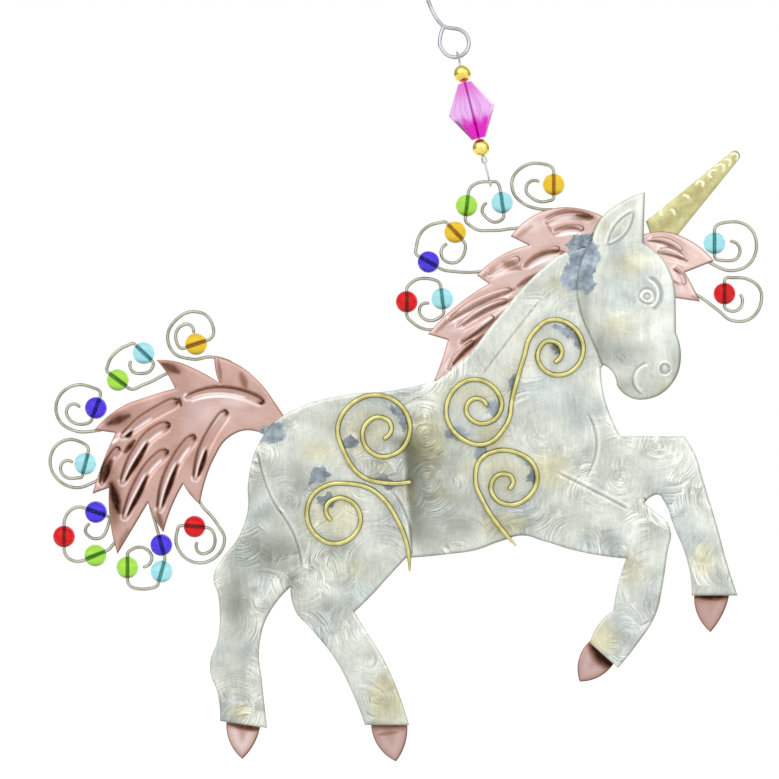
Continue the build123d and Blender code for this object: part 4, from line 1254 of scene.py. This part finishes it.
def makeFloor():
    material, f = newFinish("paleFloor")
    rays = f.node("ShaderNodeLightPath", {}, {}, "Is Camera Ray")
    seen = rays.most(rays.out("Is Glossy Ray")).most(rays.out("Is Transmission Ray"))
    paper = f.node("ShaderNodeBsdfDiffuse", {}, {"Color": stage["paper"], "Roughness": 0.0})
    glow = f.node("ShaderNodeEmission", {}, {"Color": stage["white"], "Strength": stage["glow"]})
    x, y, z = f.split(f.spot())
    far = ((x * x + y * y) ** 0.5).step(*stage["fade"])
    share = stage["floorShare"] + (1 - stage["floorShare"]) * far
    mixed = f.node("ShaderNodeMixShader", {}, {0: seen * share, 1: paper, 2: glow})
    f.node("ShaderNodeOutputMaterial", {}, {"Surface": mixed})
    return material


floorMesh = bpy.data.meshes.new("floor")
half = stage["floorSize"] / 2
corners = [(x * half, y * half, stage["floorZ"]) for x, y in ((-1, -1), (1, -1), (1, 1), (-1, 1))]
floorMesh.from_pydata(corners, [], [(0, 1, 2, 3)])
floorMesh.materials.append(makeFloor())
floor = bpy.data.objects.new("floor", floorMesh)
bpy.context.scene.collection.objects.link(floor)

surround = {"flatLight": 0.7, "front": 1.0, "side": 0.38, "top": 0.2, "glassDim": 0.6,
            "brightWay": (-0.30, -0.88, 0.36), "bright": (0.30, 0.86), "behind": (0.7, 0.98)}
world = bpy.data.worlds.new("surround")
world.use_nodes = True
bpy.context.scene.world = world
w = Finish(world.node_tree)
rays = w.node("ShaderNodeLightPath", {}, {}, "Is Camera Ray")
dx, dy, dz = w.split(w.node("ShaderNodeTexCoord", {}, {}, "Generated"))
brightWay = Vector(surround["brightWay"]).normalized()  # to the upper left of the front
toBright = dx * brightWay.x + dy * brightWay.y + dz * brightWay.z
facing = toBright.step(*surround["bright"]).most(dy.step(*surround["behind"]))
gloss = surround["side"] + (surround["front"] - surround["side"]) * facing
gloss = gloss + surround["top"] * dz.step(-0.1, 0.9)
bent = 1 - surround["glassDim"] * abs(dz).step(0.2, 0.75)  # glass shows a dimmer room above and below
through = rays.out("Is Transmission Ray")
shiny = rays.out("Is Glossy Ray")
level = shiny * gloss + (1 - shiny) * surround["flatLight"]
level = rays + (1 - rays) * (through * bent + (1 - through) * level)
shown = w.node("ShaderNodeBackground", {}, {"Color": stage["white"], "Strength": level})
w.node("ShaderNodeOutputWorld", {}, {"Surface": shown})

lamps = {
    "keyLamp": {"at": (-0.45, -0.75, 0.45), "size": 1.2, "power": 2.0},
    "fillLamp": {"at": (0.60, -0.60, 0.10), "size": 1.2, "power": 2.2},
    "backLamp": {"at": (0.40, 0.70, 0.40), "size": 1.2, "power": 2.4},
}
aim = Vector((-0.01, 0, -0.08))
for name, lamp in lamps.items():
    light = bpy.data.lights.new(name, "AREA")
    light.shape, light.size, light.energy = "DISK", lamp["size"], lamp["power"]
    holder = bpy.data.objects.new(name, light)
    holder.location = lamp["at"]
    holder.visible_transmission = False  # glass shows the surround, not the lamps
    holder.rotation_mode = "QUATERNION"
    holder.rotation_quaternion = (aim - Vector(lamp["at"])).to_track_quat("-Z", "Y")
    bpy.context.scene.collection.objects.link(holder)

# camera: straight on, framing the sheet's grid of 779 by 779
view = {"lens": 120.0, "sensor": 36.0, "grid": 779, "planeY": -1.5 * mm}
centre = place(view["grid"] / 2, view["grid"] / 2)
camera = bpy.data.objects.new("camera", bpy.data.cameras.new("camera"))
camera.data.lens, camera.data.sensor_width = view["lens"], view["sensor"]
distance = view["lens"] / view["sensor"] * view["grid"] * sheet["step"]
camera.location = (centre.real, view["planeY"] - distance, centre.imag)
camera.rotation_euler = (math.radians(90), 0, 0)
camera.data.clip_start, camera.data.clip_end = 0.01, 20
bpy.context.scene.collection.objects.link(camera)
bpy.context.scene.camera = camera
bpy.context.scene.view_settings.view_transform = "Standard"
print("stage, lamps and camera set")
